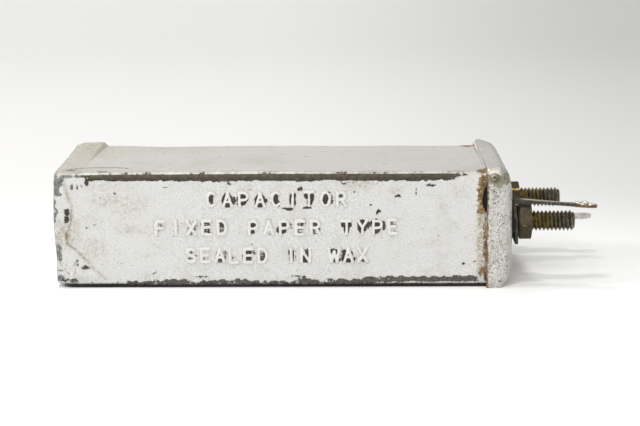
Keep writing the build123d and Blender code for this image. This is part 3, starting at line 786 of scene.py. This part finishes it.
def can_grime(c):
    """Dirt: stains, dirt round the letters, along the folds, on the flap and by the cap."""
    u, height, ragged, top = c.u, c.height, c.ragged, c.top
    fold_line = hill(c.past_fold, 0.15, 0.45) * window(2.5, 30, 1, height) * c.front * (0.8 + 0.5 * ragged)
    shelf = hill(u - c.flap_edge, 0.2, 0.38) * (0.45 + 0.5 * c.flap_rise) * window(-13, 21, 3, c.y0) * top
    flap_dirt = (0.44 + 0.25 * ragged) * (1 - smooth(-0.6, 0.4, u - c.flap_edge)) * top
    grime = spots(u, height, TAN_STAINS, 47) * c.front + spots(u, height, BACK_STAINS, 67) * c.back
    grime = grime + spots(u, c.y0, TOP_STAINS, 73) * top + 0.46 * window(0.46, 0.66, 0.12, c.distance)
    grime = grime + 0.5 * c.front * window(112.1, 113.5, 0.8, u)
    grime = grime + 0.48 * (c.rim > 0.26) * c.upper_front * top
    return np.clip(grime + 0.95 * fold_line + 0.85 * shelf + flap_dirt, 0, 1) * (c.distance > 0.34)


def make_can():
    c = can_skin()
    shape_can(c)
    # Painted highlight: a pale line along the front's rounded top rim, fainter to the right.
    rim_highlight = (0.55 - 0.35 * smooth(35, 75, c.u)) * (1 - c.below_rim) * c.upper_front
    pale_letters_rim_highlight = 0.8 * (1 - smooth(0.26, 0.42, c.distance)) + rim_highlight * (1 - smooth(0.9, 1, c.top))
    # Painted shadow under the can: the lowest part of the front's rounded bottom edge and the front of the
    # bottom face, carried in the slit's field.
    under_edge_shadow = c.lower_front * (1 - smooth(1.12, 1.3, c.height)) + c.bottom * (c.y0 < -HALF_DEPTH + 6)
    # Each field's values on the can's sides, and its value on the closed end.
    shown = {"bare_and_glint": (can_bare(c), 0.22), "rust": (can_rust(c), 0.05), "grime": (can_grime(c), 0.3),
             "aged_and_shaded": (c.top * (1 - 0.6 * pale_letters_rim_highlight), 0.0), "grey": (can_grey(c), 1.0), "pale_letters_rim_highlight": (pale_letters_rim_highlight, 0.0),
             "slit": (np.maximum(c.slit, np.clip(under_edge_shadow, 0, 1) * smooth(1.0, 3.0, c.u)), 0.0)}

    flat_end, creases = left_end(c.y0, c.z0)
    end_rings = np.array(flat_end + rounded_edge(c))
    outer = np.stack([LEFT + c.u, c.y, c.z], -1)
    inner = [np.column_stack([np.full(len(c.y0), at), c.y0 - WALL * c.ny, c.z0 - WALL * c.nz]) for at in
             (CAN_END, CAN_END - 40, LEFT + 45, LEFT + WALL + 1.5, LEFT + WALL)]
    rings = np.concatenate([end_rings, outer[1:], np.array(inner)])
    bulge_share = 1 - smooth(0, 14, rings[:, :, 0] - LEFT)
    rings[:, :, 0] -= np.interp(rings[:, :, 2], END_BULGE_HEIGHTS, END_BULGE) * bulge_share
    points, faces = loft(rings)
    flat_count, lead_in = len(flat_end), len(end_rings)
    fields = {}
    for name, (values, end_value) in shown.items():
        flat = np.zeros(rings.shape[:2])
        flat[lead_in:lead_in + len(c.places) - 1] = values[1:]
        flat[:lead_in] = end_value
        if name in ("bare_and_glint", "grime"):
            flat[:flat_count] += 0.35 * np.array(creases)
            flat[flat_count:lead_in] = 0.5
        fields[name] = np.append(flat.ravel(), [0.0, 0.0])
    make_piece("can_shell", points, faces, can_paint(), "case", ["can_body"], fields, 50)


def left_end(y0, z0):
    """Rings from the middle of the closed end out to its rounded edge, with the end's folded flaps."""
    rings, creases = [], []
    for share in np.concatenate([np.linspace(0.02, 0.93, 38), [0.96, 0.98]]):
        y = y0 * share
        z = MIDDLE + (z0 - MIDDLE) * share
        bow = 0.5 * value_noise(y, z, 9, 31)
        lower = MIDDLE - z - 0.62 * abs(y) + 7.0 + bow
        upper = z - MIDDLE - 0.5 * abs(y) - 1.0 + bow
        over = smooth(-0.2, 0.2, lower)
        under = smooth(-0.2, 0.2, upper) * (1 - over)
        depth = 0.42 - 0.42 * over - 0.2 * under + 0.04 * value_noise(y, z, 6, 32)
        rings.append(np.column_stack([LEFT + np.clip(depth, 0, 0.45), y, z]))
        upper_edge = np.where(lower > 0, 9.0, abs(upper))
        worn = 0.5 * value_noise(y, z, 3.1, 33) + 0.5 * value_noise(y, z, 1.2, 34)
        creases.append(hill(np.minimum(abs(lower), upper_edge), 0, 0.4) + 0.75 * np.clip(worn, 0, 1))
    return rings, creases


def rounded_edge(c):
    """The rounded edge that joins the closed end to the can's sides."""
    rings = []
    for angle in np.radians((20, 50, 80)):
        inset = 0.64 * (1 - sin(angle))
        rings.append(np.column_stack([np.full(len(c.y0), LEFT + 0.48 * (1 - cos(angle))),
                                      c.y0 - inset * c.ny, c.z0 - inset * c.nz]))
    return rings


# ---------------------------------------------------------------- the end cap
CORNER_STEPS = 12
CAP_RIM, CAP_CORNER, CAP_WALL = 3.3, 3.6, 0.6
TERMINAL_HOLE = 3.95


def rounded_ring(inset, radius, count=264):
    """Points (y, z) and outward directions round a rounded rectangle set in from the cap's outside."""
    half_y = cap_high[1] - inset
    half_z = (cap_high[2] - cap_low[2]) / 2 - inset
    radius = max(radius, 0.05)
    turns = []
    for centre_y, centre_z, start in ((-1, 1, 180), (1, 1, 90), (1, -1, 0), (-1, -1, -90)):
        for angle in np.radians(np.linspace(start, start - 90, CORNER_STEPS)):
            y = centre_y * (half_y - radius) + radius * cos(angle)
            z = centre_z * (half_z - radius) + radius * sin(angle)
            turns.append((y, z, cos(angle), sin(angle)))
    corners = np.array(turns).reshape(4, CORNER_STEPS, 4)
    points = []
    for side in range(4):
        points.extend(corners[side])
        flat = np.linspace(corners[side][-1], corners[(side + 1) % 4][0], count // 4 - CORNER_STEPS + 2)
        points.extend(flat[1:-1])
    y, z, ny, nz = np.array(points).T
    return y, z + MIDDLE, ny, nz


def crown(z):
    """How far the end face falls back towards the cap's top and bottom edges."""
    low = 0.55 * (1 - smooth(1.0, 8.0, z - cap_low[2]))
    high = 0.65 * (1 - smooth(1.0, 7.5, cap_high[2] - z))
    return low + high + 0.012 * (z - MIDDLE)


def cap_ring(x, inset, corner, dents=1.0):
    y, z, ny, nz = rounded_ring(inset, corner)
    share = smooth(MOUTH + 1.2, RIGHT, x)
    x_dented = x - crown(z) * share + 0.1 * dents * value_noise(y + 50, z + 7, 7, 41) * share
    lip = 1 - smooth(MOUTH, MOUTH + 4.5, x)
    flare = 0.85 * hill(y, 19, 9) * hill(z, TOP, 7) * lip
    flare = flare + 0.3 * window(19, 27, 3, z) * (y < -15) * lip
    before_rim = 1 - smooth(RIGHT - 4, RIGHT, x)
    low_corner = 1.35 * hill(y, -21.5, 3.2) * hill(z, 1.3, 3.0) * before_rim
    squared = hill(y, -21.6, 1.9) * hill(z, 0, 1.4) * before_rim
    push = dents * (0.13 * value_noise(y + z, x - z, 6, 42) + 0.05 * value_noise(y - z, x + y, 2.3, 43))
    push = push + flare + low_corner
    return np.column_stack([x_dented + 0 * y, y + ny * push - squared, np.maximum(z + nz * push, 0.0)])


def make_cap():
    """The drawn cap: from the middle of its inside, out to the mouth, and back over its rim."""
    inner_rim = CAP_RIM - CAP_WALL
    inner_end = RIGHT - CAP_WALL
    inner_corner = CAP_CORNER - CAP_WALL
    rings = []
    for share in (0.08, 0.45, 0.8):
        rings.append(cap_ring(inner_end, CAP_RIM + (1 - share) * 9, CAP_CORNER * share, 0.3))
    for angle in np.radians(np.linspace(90, 0, 7)):
        x = inner_end - inner_rim * (1 - sin(angle))
        rings.append(cap_ring(x, CAP_WALL + inner_rim * (1 - cos(angle)), inner_corner))
    rings.append(cap_ring(MOUTH + 1.0, CAP_WALL, inner_corner))
    rings.append(cap_ring(MOUTH, CAP_WALL - 0.05, inner_corner))
    rings.append(cap_ring(MOUTH - 0.12, CAP_WALL / 2, CAP_CORNER - CAP_WALL / 2))
    rings.append(cap_ring(MOUTH, 0.02, CAP_CORNER))
    rings += [cap_ring(x, 0, CAP_CORNER) for x in np.linspace(MOUTH + 0.35, RIGHT - CAP_RIM, 9)]
    for angle in np.radians(np.linspace(8, 90, 11)):
        inset = CAP_RIM * (1 - cos(angle))
        rings.append(cap_ring(RIGHT - CAP_RIM * (1 - sin(angle)), inset, CAP_CORNER - 0.55 * inset))
    for share in np.linspace(0.9, 0.04, 22):
        rings.append(cap_ring(RIGHT, CAP_RIM + (1 - share) * 12.5, max(1.8 * share, 0.3)))
    points, faces = loft(np.array(rings))
    cap = make_piece("cap_shell", points, faces, cap_paint(), "case", ["end_cap"],
                     cap_fields(points), 50)
    cut_holes(cap, ["outer_insulator_near", "outer_insulator_far"])


# Marks on the cap's front skirt: distance from its mouth, height, two half-sizes and strength.
# CAP_GLINTS marks a painted highlight on the skirt's top front corner.
CAP_GLINTS = ((2.6, 31.3, 3.0, 0.7, 0.9),)
CAP_TARNISH = ((3.2, 29.5, 3.4, 2.4, 0.9), (1.0, 22.0, 1.5, 6.0, 0.42), (1.0, 12.0, 1.3, 6.0, 0.38),
               (5.0, 4.5, 1.0, 2.0, 0.36))
CAP_SCUFFS = ((0.9, 6.0, 1.6, 6.0, 1.0), (1.2, 23.0, 1.4, 5.0, 0.9), (4.4, 9.0, 0.8, 4.0, 0.7),
              (2.6, 14.0, 1.4, 3.0, 0.6))


def cap_fields(points):
    x, y, z = points.T
    from_mouth = x - MOUTH
    upper_face = smooth(TOP - 1.2, TOP + 0.4, z)
    glint, tarnish, scuffs = (spots(from_mouth, z, marks) * (y < -15) for marks in
                              (CAP_GLINTS, CAP_TARNISH, CAP_SCUFFS))
    for name in ("near", "far"):
        axis_y, axis_z = terminal_axis(name)
        away = np.hypot(y - axis_y, z - axis_z) + 0.8 * value_noise(y, z, 2.5, 45)
        tarnish = np.maximum(tarnish, 0.52 * (1 - smooth(5.2, 8.5, away)) * (x > RIGHT - 1.5))
    rust = (0.72 - 0.45 * upper_face) * (1 - smooth(0.0, 1.0, from_mouth)) + 0.2 * (z < 1.5)
    return {"rust": rust, "bare_and_glint": glint, "tarnish": tarnish, "aged_and_shaded": upper_face,
            "scuffs": np.maximum.reduce([scuffs, 0.55 * upper_face, 0.3 + 0 * z])}


def cut_holes(piece, nodes):
    """Cuts the terminal holes through the cap's end, on the axes of the bushes that sit in them."""
    for node in nodes:
        low, high = box_mm(node)
        centre = (low + high) / 2
        bpy.ops.mesh.primitive_cylinder_add(vertices=48, radius=TERMINAL_HOLE * MM, depth=8 * MM,
                                            location=centre * MM, rotation=(0, pi / 2, 0))
        cutter = bpy.context.object
        modifier = piece.modifiers.new("hole", "BOOLEAN")
        modifier.object = cutter
        modifier.operation = "DIFFERENCE"
        modifier.solver = "EXACT"
        bpy.context.view_layer.objects.active = piece
        bpy.ops.object.modifier_apply(modifier=modifier.name)
        bpy.data.objects.remove(cutter)


# ---------------------------------------------------------------- solder
def make_seam():
    """A lumpy bead of solder round the cap's mouth, left open along one stretch of the front."""
    y, z, ny, nz = rounded_ring(CAP_PROUD - 0.3, 2.6, 504)
    opening = np.where((y < -HALF_DEPTH) & (z > 19.0) & (z < 27.0))[0]
    order = np.roll(np.arange(len(y)), -(opening.max() + 1))[: len(y) - len(opening)]
    y, z, ny, nz = y[order], z[order], ny[order], nz[order]
    place = np.arange(len(y))
    run = place * 0.3
    taper = smooth(0, 6, place) * (1 - smooth(len(y) - 7, len(y) - 1, place))
    size = 0.34 + 0.1 * value_noise(run, 0, 3.0, 51) + 0.05 * value_noise(run, 0, 1.1, 52)
    size = size * (0.25 + 0.75 * taper) * (1 - 0.45 * (z > TOP - 1))
    filled = hill(y, 19, 9) * (z > TOP - 1)
    size, z = size + 0.3 * filled, z + 0.35 * filled
    centre_x = MOUTH - 0.18 + 0.14 * value_noise(run, 0, 3.5, 53)
    rings = []
    for angle in np.linspace(0, 2 * pi, 14, endpoint=False):
        along = size * 1.15 * cos(angle) * (1 + 0.12 * value_noise(run, angle * 3, 1.5, 54))
        out = size * 0.85 * sin(angle) * (1 + 0.12 * value_noise(run, angle * 5, 1.7, 55))
        rings.append(np.column_stack([centre_x + along, y + ny * out, z + nz * out]))
    points, faces = loft(np.array(rings).transpose(1, 0, 2))
    painted = 0.75 * smooth(TOP - 1.0, TOP, points[:, 2]) * smooth(-20, -17, points[:, 1])
    make_piece("solder_bead", points, faces, seam_solder(), "case", ["solder_seam"],
               {"painted": painted}, 70)


def lumpy_ball(centre, sizes, seed, roughness=0.12):
    """Points and faces of a small blob, flattened by its three half-sizes."""
    rings = []
    turn = np.linspace(0, 2 * pi, 24, endpoint=False)
    for tilt in np.linspace(0.06, pi - 0.06, 15):
        lump = 1 + roughness * value_noise(turn * 4 + 9 * np.cos(turn), tilt * 5, 2.5, seed)
        unit = np.array([sin(tilt) * np.cos(turn), sin(tilt) * np.sin(turn), cos(tilt) + 0 * turn])
        rings.append(centre + (unit * lump).T * sizes)
    return loft(np.array(rings))


def make_solder_dot():
    low, high = box_mm("solder_dot")
    centre = (low + high) / 2
    points, faces = lumpy_ball(centre + (-0.1, 0.15, -0.3), (1.25, 0.75, 1.3), 61)
    make_piece("solder_drop", points, faces, dull_solder(), "case", ["solder_dot"])


def make_lug_solder(material):
    """Drips of old solder along the near lug's eye."""
    axis_y, axis_z = terminal_axis("near")
    tail_end = np.array((box_mm("solder_lug_near")[1][0], axis_y, axis_z + 4.0))
    blobs = (((-3.6, 0.7, 0.75), (1.3, 0.9, 0.42)), ((-5.4, -0.5, 0.95), (0.9, 0.8, 0.35)),
             ((-1.5, -0.4, 0.42), (0.9, 1.2, 0.4)), ((-4.0, -1.1, 0.35), (1.2, 0.6, 0.45)))
    for count, (offset, sizes) in enumerate(blobs):
        points, faces = lumpy_ball(tail_end + offset, sizes, 64 + count, 0.25)
        make_piece(f"solder_blob_{count + 1}", points, faces, material, "case")


# ---------------------------------------------------------------- terminals
def turned_rings(profile, axis, count, phase=0.0):
    """Rings about a terminal's axis, from pairs of x and the radius at each angle."""
    angles = np.linspace(0, 2 * pi, count, endpoint=False) + phase
    return np.array([np.column_stack([np.full(count, x), axis[0] + radius * np.cos(angles),
                                      axis[1] + radius * np.sin(angles)]) for x, radius in profile])


def from_axis(points, axis):
    return np.hypot(points[:, 1] - axis[0], points[:, 2] - axis[1])


def make_stud(name, material):
    """A headed stud with a real helical thread, cut to a blunt crest and rounded root."""
    low, high = box_mm(f"stud_{name}")
    axis = terminal_axis(name)
    minor, head = 1.98, (high[1] - low[1]) / 2
    head_end, end = low[0] + 2.5, high[0]
    thread_start = head_end + 0.8
    angles = np.linspace(0, 2 * pi, 60, endpoint=False)

    def thread_radius(x):
        turn = np.mod((x / THREAD_PITCH) - angles / (2 * pi), 1)
        height = np.clip(abs(turn - 0.5) * 2 * 1.14 - 0.07, 0, 1)
        thread = minor + (THREAD_RADIUS - minor) * (1 - height) + 0.03 * value_noise(angles * 3, x, 1.3, 71)
        return np.minimum(thread, THREAD_RADIUS - 0.75 + (end - x) * 0.9)

    profile = [(low[0], head - 0.35), (low[0] + 0.35, head), (head_end, head), (head_end, THREAD_RADIUS),
               (thread_start - 0.1, THREAD_RADIUS)]
    thread_x = np.append(np.arange(thread_start, end - 0.02, THREAD_PITCH / 13), end)
    profile += [(x, thread_radius(x)) for x in thread_x]
    profile += [(end + 0.02, radius) for radius in (1.7, 1.0, 0.4)]
    points, faces = loft(turned_rings(profile, axis, 60))
    x, reach = points[:, 0], from_axis(points, axis)
    threaded = (x > thread_start) & (x < end - 0.3)
    golden = 1 - smooth(end - 8.5, end - 5.0, x)
    fields = {"valley_shade": (1 - smooth(minor + 0.05, minor + 0.52, reach)) * threaded,
              "root": (1 - smooth(minor + 0.3, minor + 0.68, reach)) * threaded * golden,
              "tip": smooth(end - 5.5, end - 1.0, x)}
    make_piece(f"threaded_stud_{name}", points, faces, material, "case", [f"stud_{name}"],
               fields, 60)


def make_nut(name, turn, flat, gilding, material):
    """A hexagon nut: bevelled corners on both faces, eased edges, countersunk mouth."""
    low, high = box_mm(f"hex_nut_{name}")
    axis = terminal_axis(name)
    corner = flat / cos(pi / 6)
    turned = np.linspace(0, 2 * pi, 144, endpoint=False)

    def side_radius(x):
        """The nut's side at x: hexagon, cut by the cone that bevels its corners, corners eased."""
        from_middle = np.mod(turned + pi / 6, pi / 3) - pi / 6
        across = flat / np.cos(np.mod(turned, pi / 3) - pi / 6)
        cone = flat + 0.18 + min(x - low[0], high[0] - x) * 2.6
        return np.minimum(np.minimum(across, corner - 0.1 - 0.02 * abs(from_middle)), cone)

    shares = (0.012, 0.04, 0.08, 0.14, 0.22, 0.5, 0.78, 0.86, 0.92, 0.96, 0.988)
    sides = low[0] + (high[0] - low[0]) * np.array(shares)
    profile = [(low[0], NUT_BORE + 0.35), (low[0], flat * 0.93), (low[0] + 0.01, flat - 0.08)]
    profile += [(x, side_radius(x)) for x in sides]
    profile += [(high[0] - 0.01, flat - 0.08), (high[0], flat * 0.93), (high[0], NUT_BORE + 0.5)]
    profile += [(high[0] - 0.5, NUT_BORE), (high[0] - 1.6, NUT_BORE), (low[0] + 0.35, NUT_BORE)]
    phase = radians(turn)
    uneven = [(x, radius + 0.035 * value_noise((turned + phase) * 2.3, x, 1.4, 81 + round(turn)))
              for x, radius in profile]
    points, faces = loft(turned_rings(uneven, axis, 144, phase), closed=True)
    edge = gilding * smooth(corner - 0.4, corner - 0.1, from_axis(points, axis))
    make_piece(f"brass_nut_{name}", points, faces, material, f"nut_{name}",
               [f"hex_nut_{name}"], {"edge": edge}, 28)


def make_flat_ring(piece, node, body, profile, rough_from, roughness, cell, seed, material):
    """A ring turned from a profile of (x, radius), whose outside wavers slightly as a stamped one does."""
    low, high = box_mm(node)
    angles = np.linspace(0, 2 * pi, 96, endpoint=False)
    uneven = [(x, r + (roughness * value_noise(angles * 2, r, cell, seed) if r > rough_from else 0))
              for x, r in profile]
    points, faces = loft(turned_rings(uneven, ((low[1] + high[1]) / 2, (low[2] + high[2]) / 2), 96),
                         closed=True)
    make_piece(piece, points, faces, material, body, [node], sharp=35)


def make_washer(name, material):
    """The thin brass washer under a nut."""
    low, high = box_mm(f"nut_washer_{name}")
    start, end, outer, ease = low[0], high[0], (high[1] - low[1]) / 2, 0.08
    middle = (NUT_BORE + outer) / 2
    profile = [(start, NUT_BORE), (start, middle), (start, outer - ease), (start + ease, outer),
               ((start + end) / 2, outer), (end - ease, outer), (end, outer - ease), (end, middle),
               (end, NUT_BORE)]
    make_flat_ring(f"brass_washer_{name}", f"nut_washer_{name}", f"washer_{name}", profile,
                   middle, 0.04, 1.5, 91, material)


def make_bush(name, material):
    """The shouldered fibre insulator: a thick washer outside the cap with a sleeve through the hole."""
    low, high = box_mm(f"outer_insulator_{name}")
    start, end, outer, bore, sleeve = low[0], high[0], (high[1] - low[1]) / 2, 2.8, 3.9
    shoulder = start + 0.6
    profile = [(start, bore), (start, sleeve), (shoulder, sleeve), (shoulder, outer - 0.2),
               (shoulder + 0.2, outer), (end - 0.25, outer), (end, outer - 0.25), (end, bore)]
    make_flat_ring(f"fibre_washer_{name}", f"outer_insulator_{name}", "case", profile,
                   4, 0.06, 1.2, 92, material)


LUG_THICKNESS, LUG_BEND = 0.7, 0.55
LUG_HALF_WIDTH, LUG_REACH = 4.5, 5.9
LUG_UPPER_CORNER, LUG_LOWER_CORNER = 2.6, 2.2
LUG_HOLE, LUG_EYE_HOLE = 2.85, 0.9
LUG_HALF_NECK, LUG_HALF_EYE = 1.35, 2.3


def lug_outline(top, tail_reach):
    """Outline and holes of a flat lug: a plate round the origin and a tail up +Y ending in a round eye."""
    eye_centre = tail_reach - LUG_HALF_EYE
    upper, lower = LUG_UPPER_CORNER, LUG_LOWER_CORNER
    outline = []
    for side_x, middle_y, radius, start in (
            (1, top - upper, upper, 90), (1, lower - LUG_REACH, lower, 0),
            (-1, lower - LUG_REACH, lower, -90), (-1, top - upper, upper, -180)):
        outline += arc(side_x * (LUG_HALF_WIDTH - radius), middle_y, radius, radius, start, start - 90, 9)
    side = [(-LUG_HALF_NECK - 0.4, top), (-LUG_HALF_NECK, top + 0.6), (-LUG_HALF_NECK, eye_centre - 5.2),
            (-LUG_HALF_EYE, eye_centre - 2.7)]
    outline += side + arc(0, eye_centre, LUG_HALF_EYE, LUG_HALF_EYE, 180, 0, 24)
    outline += [(-x, y) for x, y in side[::-1]]
    return (outline, arc(0, 0, LUG_HOLE, LUG_HOLE, 0, 351, 40),
            arc(0, eye_centre, LUG_EYE_HOLE, LUG_EYE_HOLE, 0, 342, 20))


def filled_outline(paths):
    """A flat mesh inside closed paths, with later paths cut out as holes."""
    curve = bpy.data.curves.new("lug_blank", "CURVE")
    curve.dimensions = "2D"
    curve.fill_mode = "BOTH"
    for path in paths:
        spline = curve.splines.new("POLY")
        spline.points.add(len(path) - 1)
        for point, (x, y) in zip(spline.points, path):
            point.co = (x, y, 0, 1)
        spline.use_cyclic_u = True
    holder = bpy.data.objects.new("lug_blank", curve)
    bpy.context.scene.collection.objects.link(holder)
    bpy.context.view_layer.update()
    mesh = bpy.data.meshes.new_from_object(holder.evaluated_get(bpy.context.evaluated_depsgraph_get()))
    bpy.data.objects.remove(holder)
    bpy.data.curves.remove(curve)
    return mesh


def lug_blank(fold_at, tail_reach):
    """The flat lug as a thick sheet with eased edges, cut across where it will bend."""
    work = bmesh.new()
    work.from_mesh(filled_outline(lug_outline(fold_at - 0.1, tail_reach)))
    bmesh.ops.remove_doubles(work, verts=work.verts, dist=1e-5)
    for cut in np.r_[fold_at - 0.4:fold_at + 2.2:0.16, fold_at + 2.6:32:0.6]:
        everything = list(work.verts) + list(work.edges) + list(work.faces)
        bmesh.ops.bisect_plane(work, geom=everything, plane_co=(0, cut, 0), plane_no=(0, 1, 0))
    grown = bmesh.ops.extrude_face_region(work, geom=list(work.faces))
    for part in grown["geom"]:
        if isinstance(part, bmesh.types.BMVert):
            part.co.z += LUG_THICKNESS
    bmesh.ops.recalc_face_normals(work, faces=work.faces)
    edges = [e for e in work.edges if len(e.link_faces) == 2 and e.calc_face_angle(0) > 1.2]
    bmesh.ops.bevel(work, geom=edges, offset=0.1, segments=2, affect="EDGES", clamp_overlap=True)
    work.verts.ensure_lookup_table()
    points = np.array([tuple(v.co) for v in work.verts])
    faces = [[v.index for v in face.verts] for face in work.faces]
    work.free()
    return points, faces


def make_lug(name, up, start_height, tip_height, lean, stain_and_shade, material):
    """A solder lug: ring blank, its tail leaned back, folded square and run outward with a droop."""
    low, high = box_mm(f"solder_lug_{name}")
    axis_y, axis_z = terminal_axis(name)
    fold_at = start_height - LUG_THICKNESS / 2 - LUG_BEND
    run = high[0] - (low[0] + LUG_THICKNESS + LUG_BEND)
    flat, faces = lug_blank(fold_at, fold_at + LUG_BEND * pi / 2 * 1.3 + run + 0.25)
    slope = (tip_height - start_height) / run
    quarter = (LUG_BEND + LUG_THICKNESS / 2) * pi / 2
    points = []
    for across, along, deep in flat:
        if along <= fold_at:
            x, height = low[0] + LUG_THICKNESS - deep, along
        else:
            bent = min((along - fold_at) / quarter, 1.0) * pi / 2
            radius = LUG_BEND + deep
            extra = max(0.0, along - fold_at - quarter)
            x = low[0] + LUG_THICKNESS + LUG_BEND - radius * cos(bent) + extra
            height = fold_at + radius * sin(bent) + 0.05 * up * across * extra / run
            height += extra * slope - 0.1 * sin(pi * min(extra / run, 1)) * up
        upright = max(0.0, min(along, fold_at + LUG_BEND) + LUG_REACH)
        share = (upright / (fold_at + LUG_BEND + LUG_REACH)) ** 1.3
        points.append((x - lean * share * (1 - max(0.0, x - low[0]) / run), axis_y - across * up,
                       axis_z + up * height))
    x, y, _ = np.array(points).T
    side = smooth(-1.0, 1.2, axis_y - y)
    tail = smooth(low[0] + 1.0, low[0] + 3.0, x)
    flux = stain_and_shade * tail * (0.26 + 0.38 * smooth(high[0] - 14, high[0] - 2, x) + 0.42 * side)
    # Painted shade: the upright plate dark, and the tail's front side dark except near its tip, most on the
    # heavily stained near lug.
    shade = np.maximum(1 - tail, stain_and_shade * 1.1 * side * (1 - smooth(high[0] - 8, high[0] - 4, x)))
    make_piece(f"lug_{name}", points, faces, material, "case", [f"solder_lug_{name}"],
               {"flux": flux, "shade": shade}, 45)


# ---------------------------------------------------------------- hidden CAD nodes get their finishes
def dress_hidden_nodes():
    finishes = {
        pressboard(): ("can_liner", "end_pad", "terminal_board", "winding_core"),
        kraft_paper(): ("paper_a", "paper_b", "winding_wrap"),
        foil(): ("foil_a", "foil_b"),
        cotton_tape(): ("tie_bands",),
        wax(): ("sealing_compound",),
        black_fibre(): ("inner_insulator_near", "inner_insulator_far"),
        bright_solder(): ("lead_near", "lead_far"),
    }
    for material, nodes in finishes.items():
        for node in nodes:
            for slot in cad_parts[node].material_slots:
                slot.material = material


# ---------------------------------------------------------------- camera, floor and light
# Place in metres, and degrees looked down, turned towards +X and rolled.
CAMERA_PLACE = (0.00233, -0.4747, 0.1133)
CAMERA_TURN = (11.618, -0.746, -0.359)
CAMERA_LENS, CAMERA_SENSOR = 98.2, 36


def make_camera():
    camera = bpy.data.objects.new("camera", bpy.data.cameras.new("camera"))
    bpy.context.scene.collection.objects.link(camera)
    pitch, yaw, roll = (radians(angle) for angle in CAMERA_TURN)
    forward = np.array((sin(yaw) * cos(pitch), cos(yaw) * cos(pitch), -sin(pitch)))
    side = np.array((cos(yaw), -sin(yaw), 0.0))
    upward = np.cross(side, forward)
    right = cos(roll) * side + sin(roll) * upward
    upward = -sin(roll) * side + cos(roll) * upward
    turn = Matrix(np.array([right, upward, -forward]).T.tolist()).to_4x4()
    camera.matrix_world = Matrix.Translation(CAMERA_PLACE) @ turn
    camera.data.sensor_width = CAMERA_SENSOR
    camera.data.lens = CAMERA_LENS
    camera.data.clip_start = 0.01
    bpy.context.scene.camera = camera


def floor_finish():
    """White paper with painted shade: greyer behind the part and to the right, where less lamp light falls.
    """
    s = Shader("studio_paper", 0.7)
    parts = s.tree.nodes.new("ShaderNodeSeparateXYZ")
    s.tree.links.new(s.place, parts.inputs[0])
    behind = s.step(parts.outputs["Y"], -0.04, 0.14)
    right = s.math("MULTIPLY", s.step(parts.outputs["X"], -0.06, 0.2), behind)
    colour = s.mix(behind, (0.97, 0.97, 0.97), (0.8, 0.8, 0.795))
    return s.finish(s.mix(right, colour, (0.62, 0.62, 0.622)))


def make_stage():
    """A pale table that curves up into a backdrop."""
    profile = [(-2.5, 0.0), (0.55, 0.0)]
    profile += [(0.55 + 0.5 * sin(a), 0.5 - 0.5 * cos(a)) for a in np.radians(np.linspace(6, 90, 15))]
    profile.append((1.05, 3.0))
    points = [(x, y, z) for x in (-3.0, 3.0) for y, z in profile]
    count = len(profile)
    faces = [(k, k + 1, count + k + 1, count + k) for k in range(count - 1)]
    mesh = bpy.data.meshes.new("studio_sweep")
    mesh.from_pydata(points, [], faces)
    mesh.polygons.foreach_set("use_smooth", [True] * len(faces))
    mesh.materials.append(floor_finish())
    sweep = bpy.data.objects.new("studio_sweep", mesh)
    bpy.context.scene.collection.objects.link(sweep)


def make_light(name, place, aim, size, power):
    lamp = bpy.data.lights.new(name, "AREA")
    lamp.shape = "RECTANGLE"
    lamp.size, lamp.size_y = size
    lamp.energy = power
    lamp.color = LAMP_COLOUR
    holder = bpy.data.objects.new(name, lamp)
    bpy.context.scene.collection.objects.link(holder)
    holder.location = place
    holder.rotation_euler = (Vector(aim) - Vector(place)).to_track_quat("-Z", "Y").to_euler()


LAMP_COLOUR = (1.0, 0.99, 0.972)
# Name, place and aim in metres, size in metres and power in watts.
LAMPS = (
    ("key", (-1.25, -0.16, 0.82), (0, 0, 0.01), (0.3, 0.2), 6.8),
    ("overhead", (-0.1, 0.05, 1.1), (0, 0, 0), (1.1, 0.7), 1.2),
    ("high_front", (-0.16, -0.33, 1.05), (0, 0, 0), (0.12, 0.12), 2.7),
    ("high_back", (-0.2, 0.36, 1.05), (0, 0, 0), (0.1, 0.1), 1.9),
    ("front", (-0.1, -1.0, 0.85), (0, 0, 0.01), (0.9, 0.5), 6.0),
    ("backdrop", (-0.9, 0.35, 1.2), (-0.5, 1.0, 0.2), (1.2, 0.5), 0.9),
)


def make_lights():
    world = bpy.data.worlds.new("studio")
    world.use_nodes = True
    background = world.node_tree.nodes["Background"].inputs
    background["Color"].default_value = (1.0, 1.0, 0.995, 1)
    background["Strength"].default_value = 0.4
    bpy.context.scene.world = world
    for lamp in LAMPS:
        make_light(*lamp)
    bpy.context.scene.view_settings.view_transform = "Standard"


# ---------------------------------------------------------------- the whole scene
make_camera()
make_stage()
make_lights()
make_can()
make_cap()
make_seam()
solder = bright_solder()
make_solder_dot()
brass, nut_finish, tin, fibre = stud_brass(), nut_brass(), tinned_lug(), black_fibre()
# Each terminal's tail direction, heights and lean, flux stain and side shade, and its nut's turn, half-flat
# and gilding.
for name, up, start_height, tip_height, lean, stain_and_shade, nut_turn, nut_flat, gilding in (
        ("near", 1, 5.62, 3.95, 0.75, 0.9, -6.5, 11 / 64 * INCH, 0.72),
        ("far", -1, 6.4, 5.45, 0.3, 0.25, 40.7, 5 / 32 * INCH, 1.0)):
    make_stud(name, brass)
    make_nut(name, 180 - nut_turn, nut_flat, gilding, nut_finish)
    make_washer(name, nut_finish)
    make_bush(name, fibre)
    make_lug(name, up, start_height, tip_height, lean, stain_and_shade, tin)
make_lug_solder(solder)
dress_hidden_nodes()
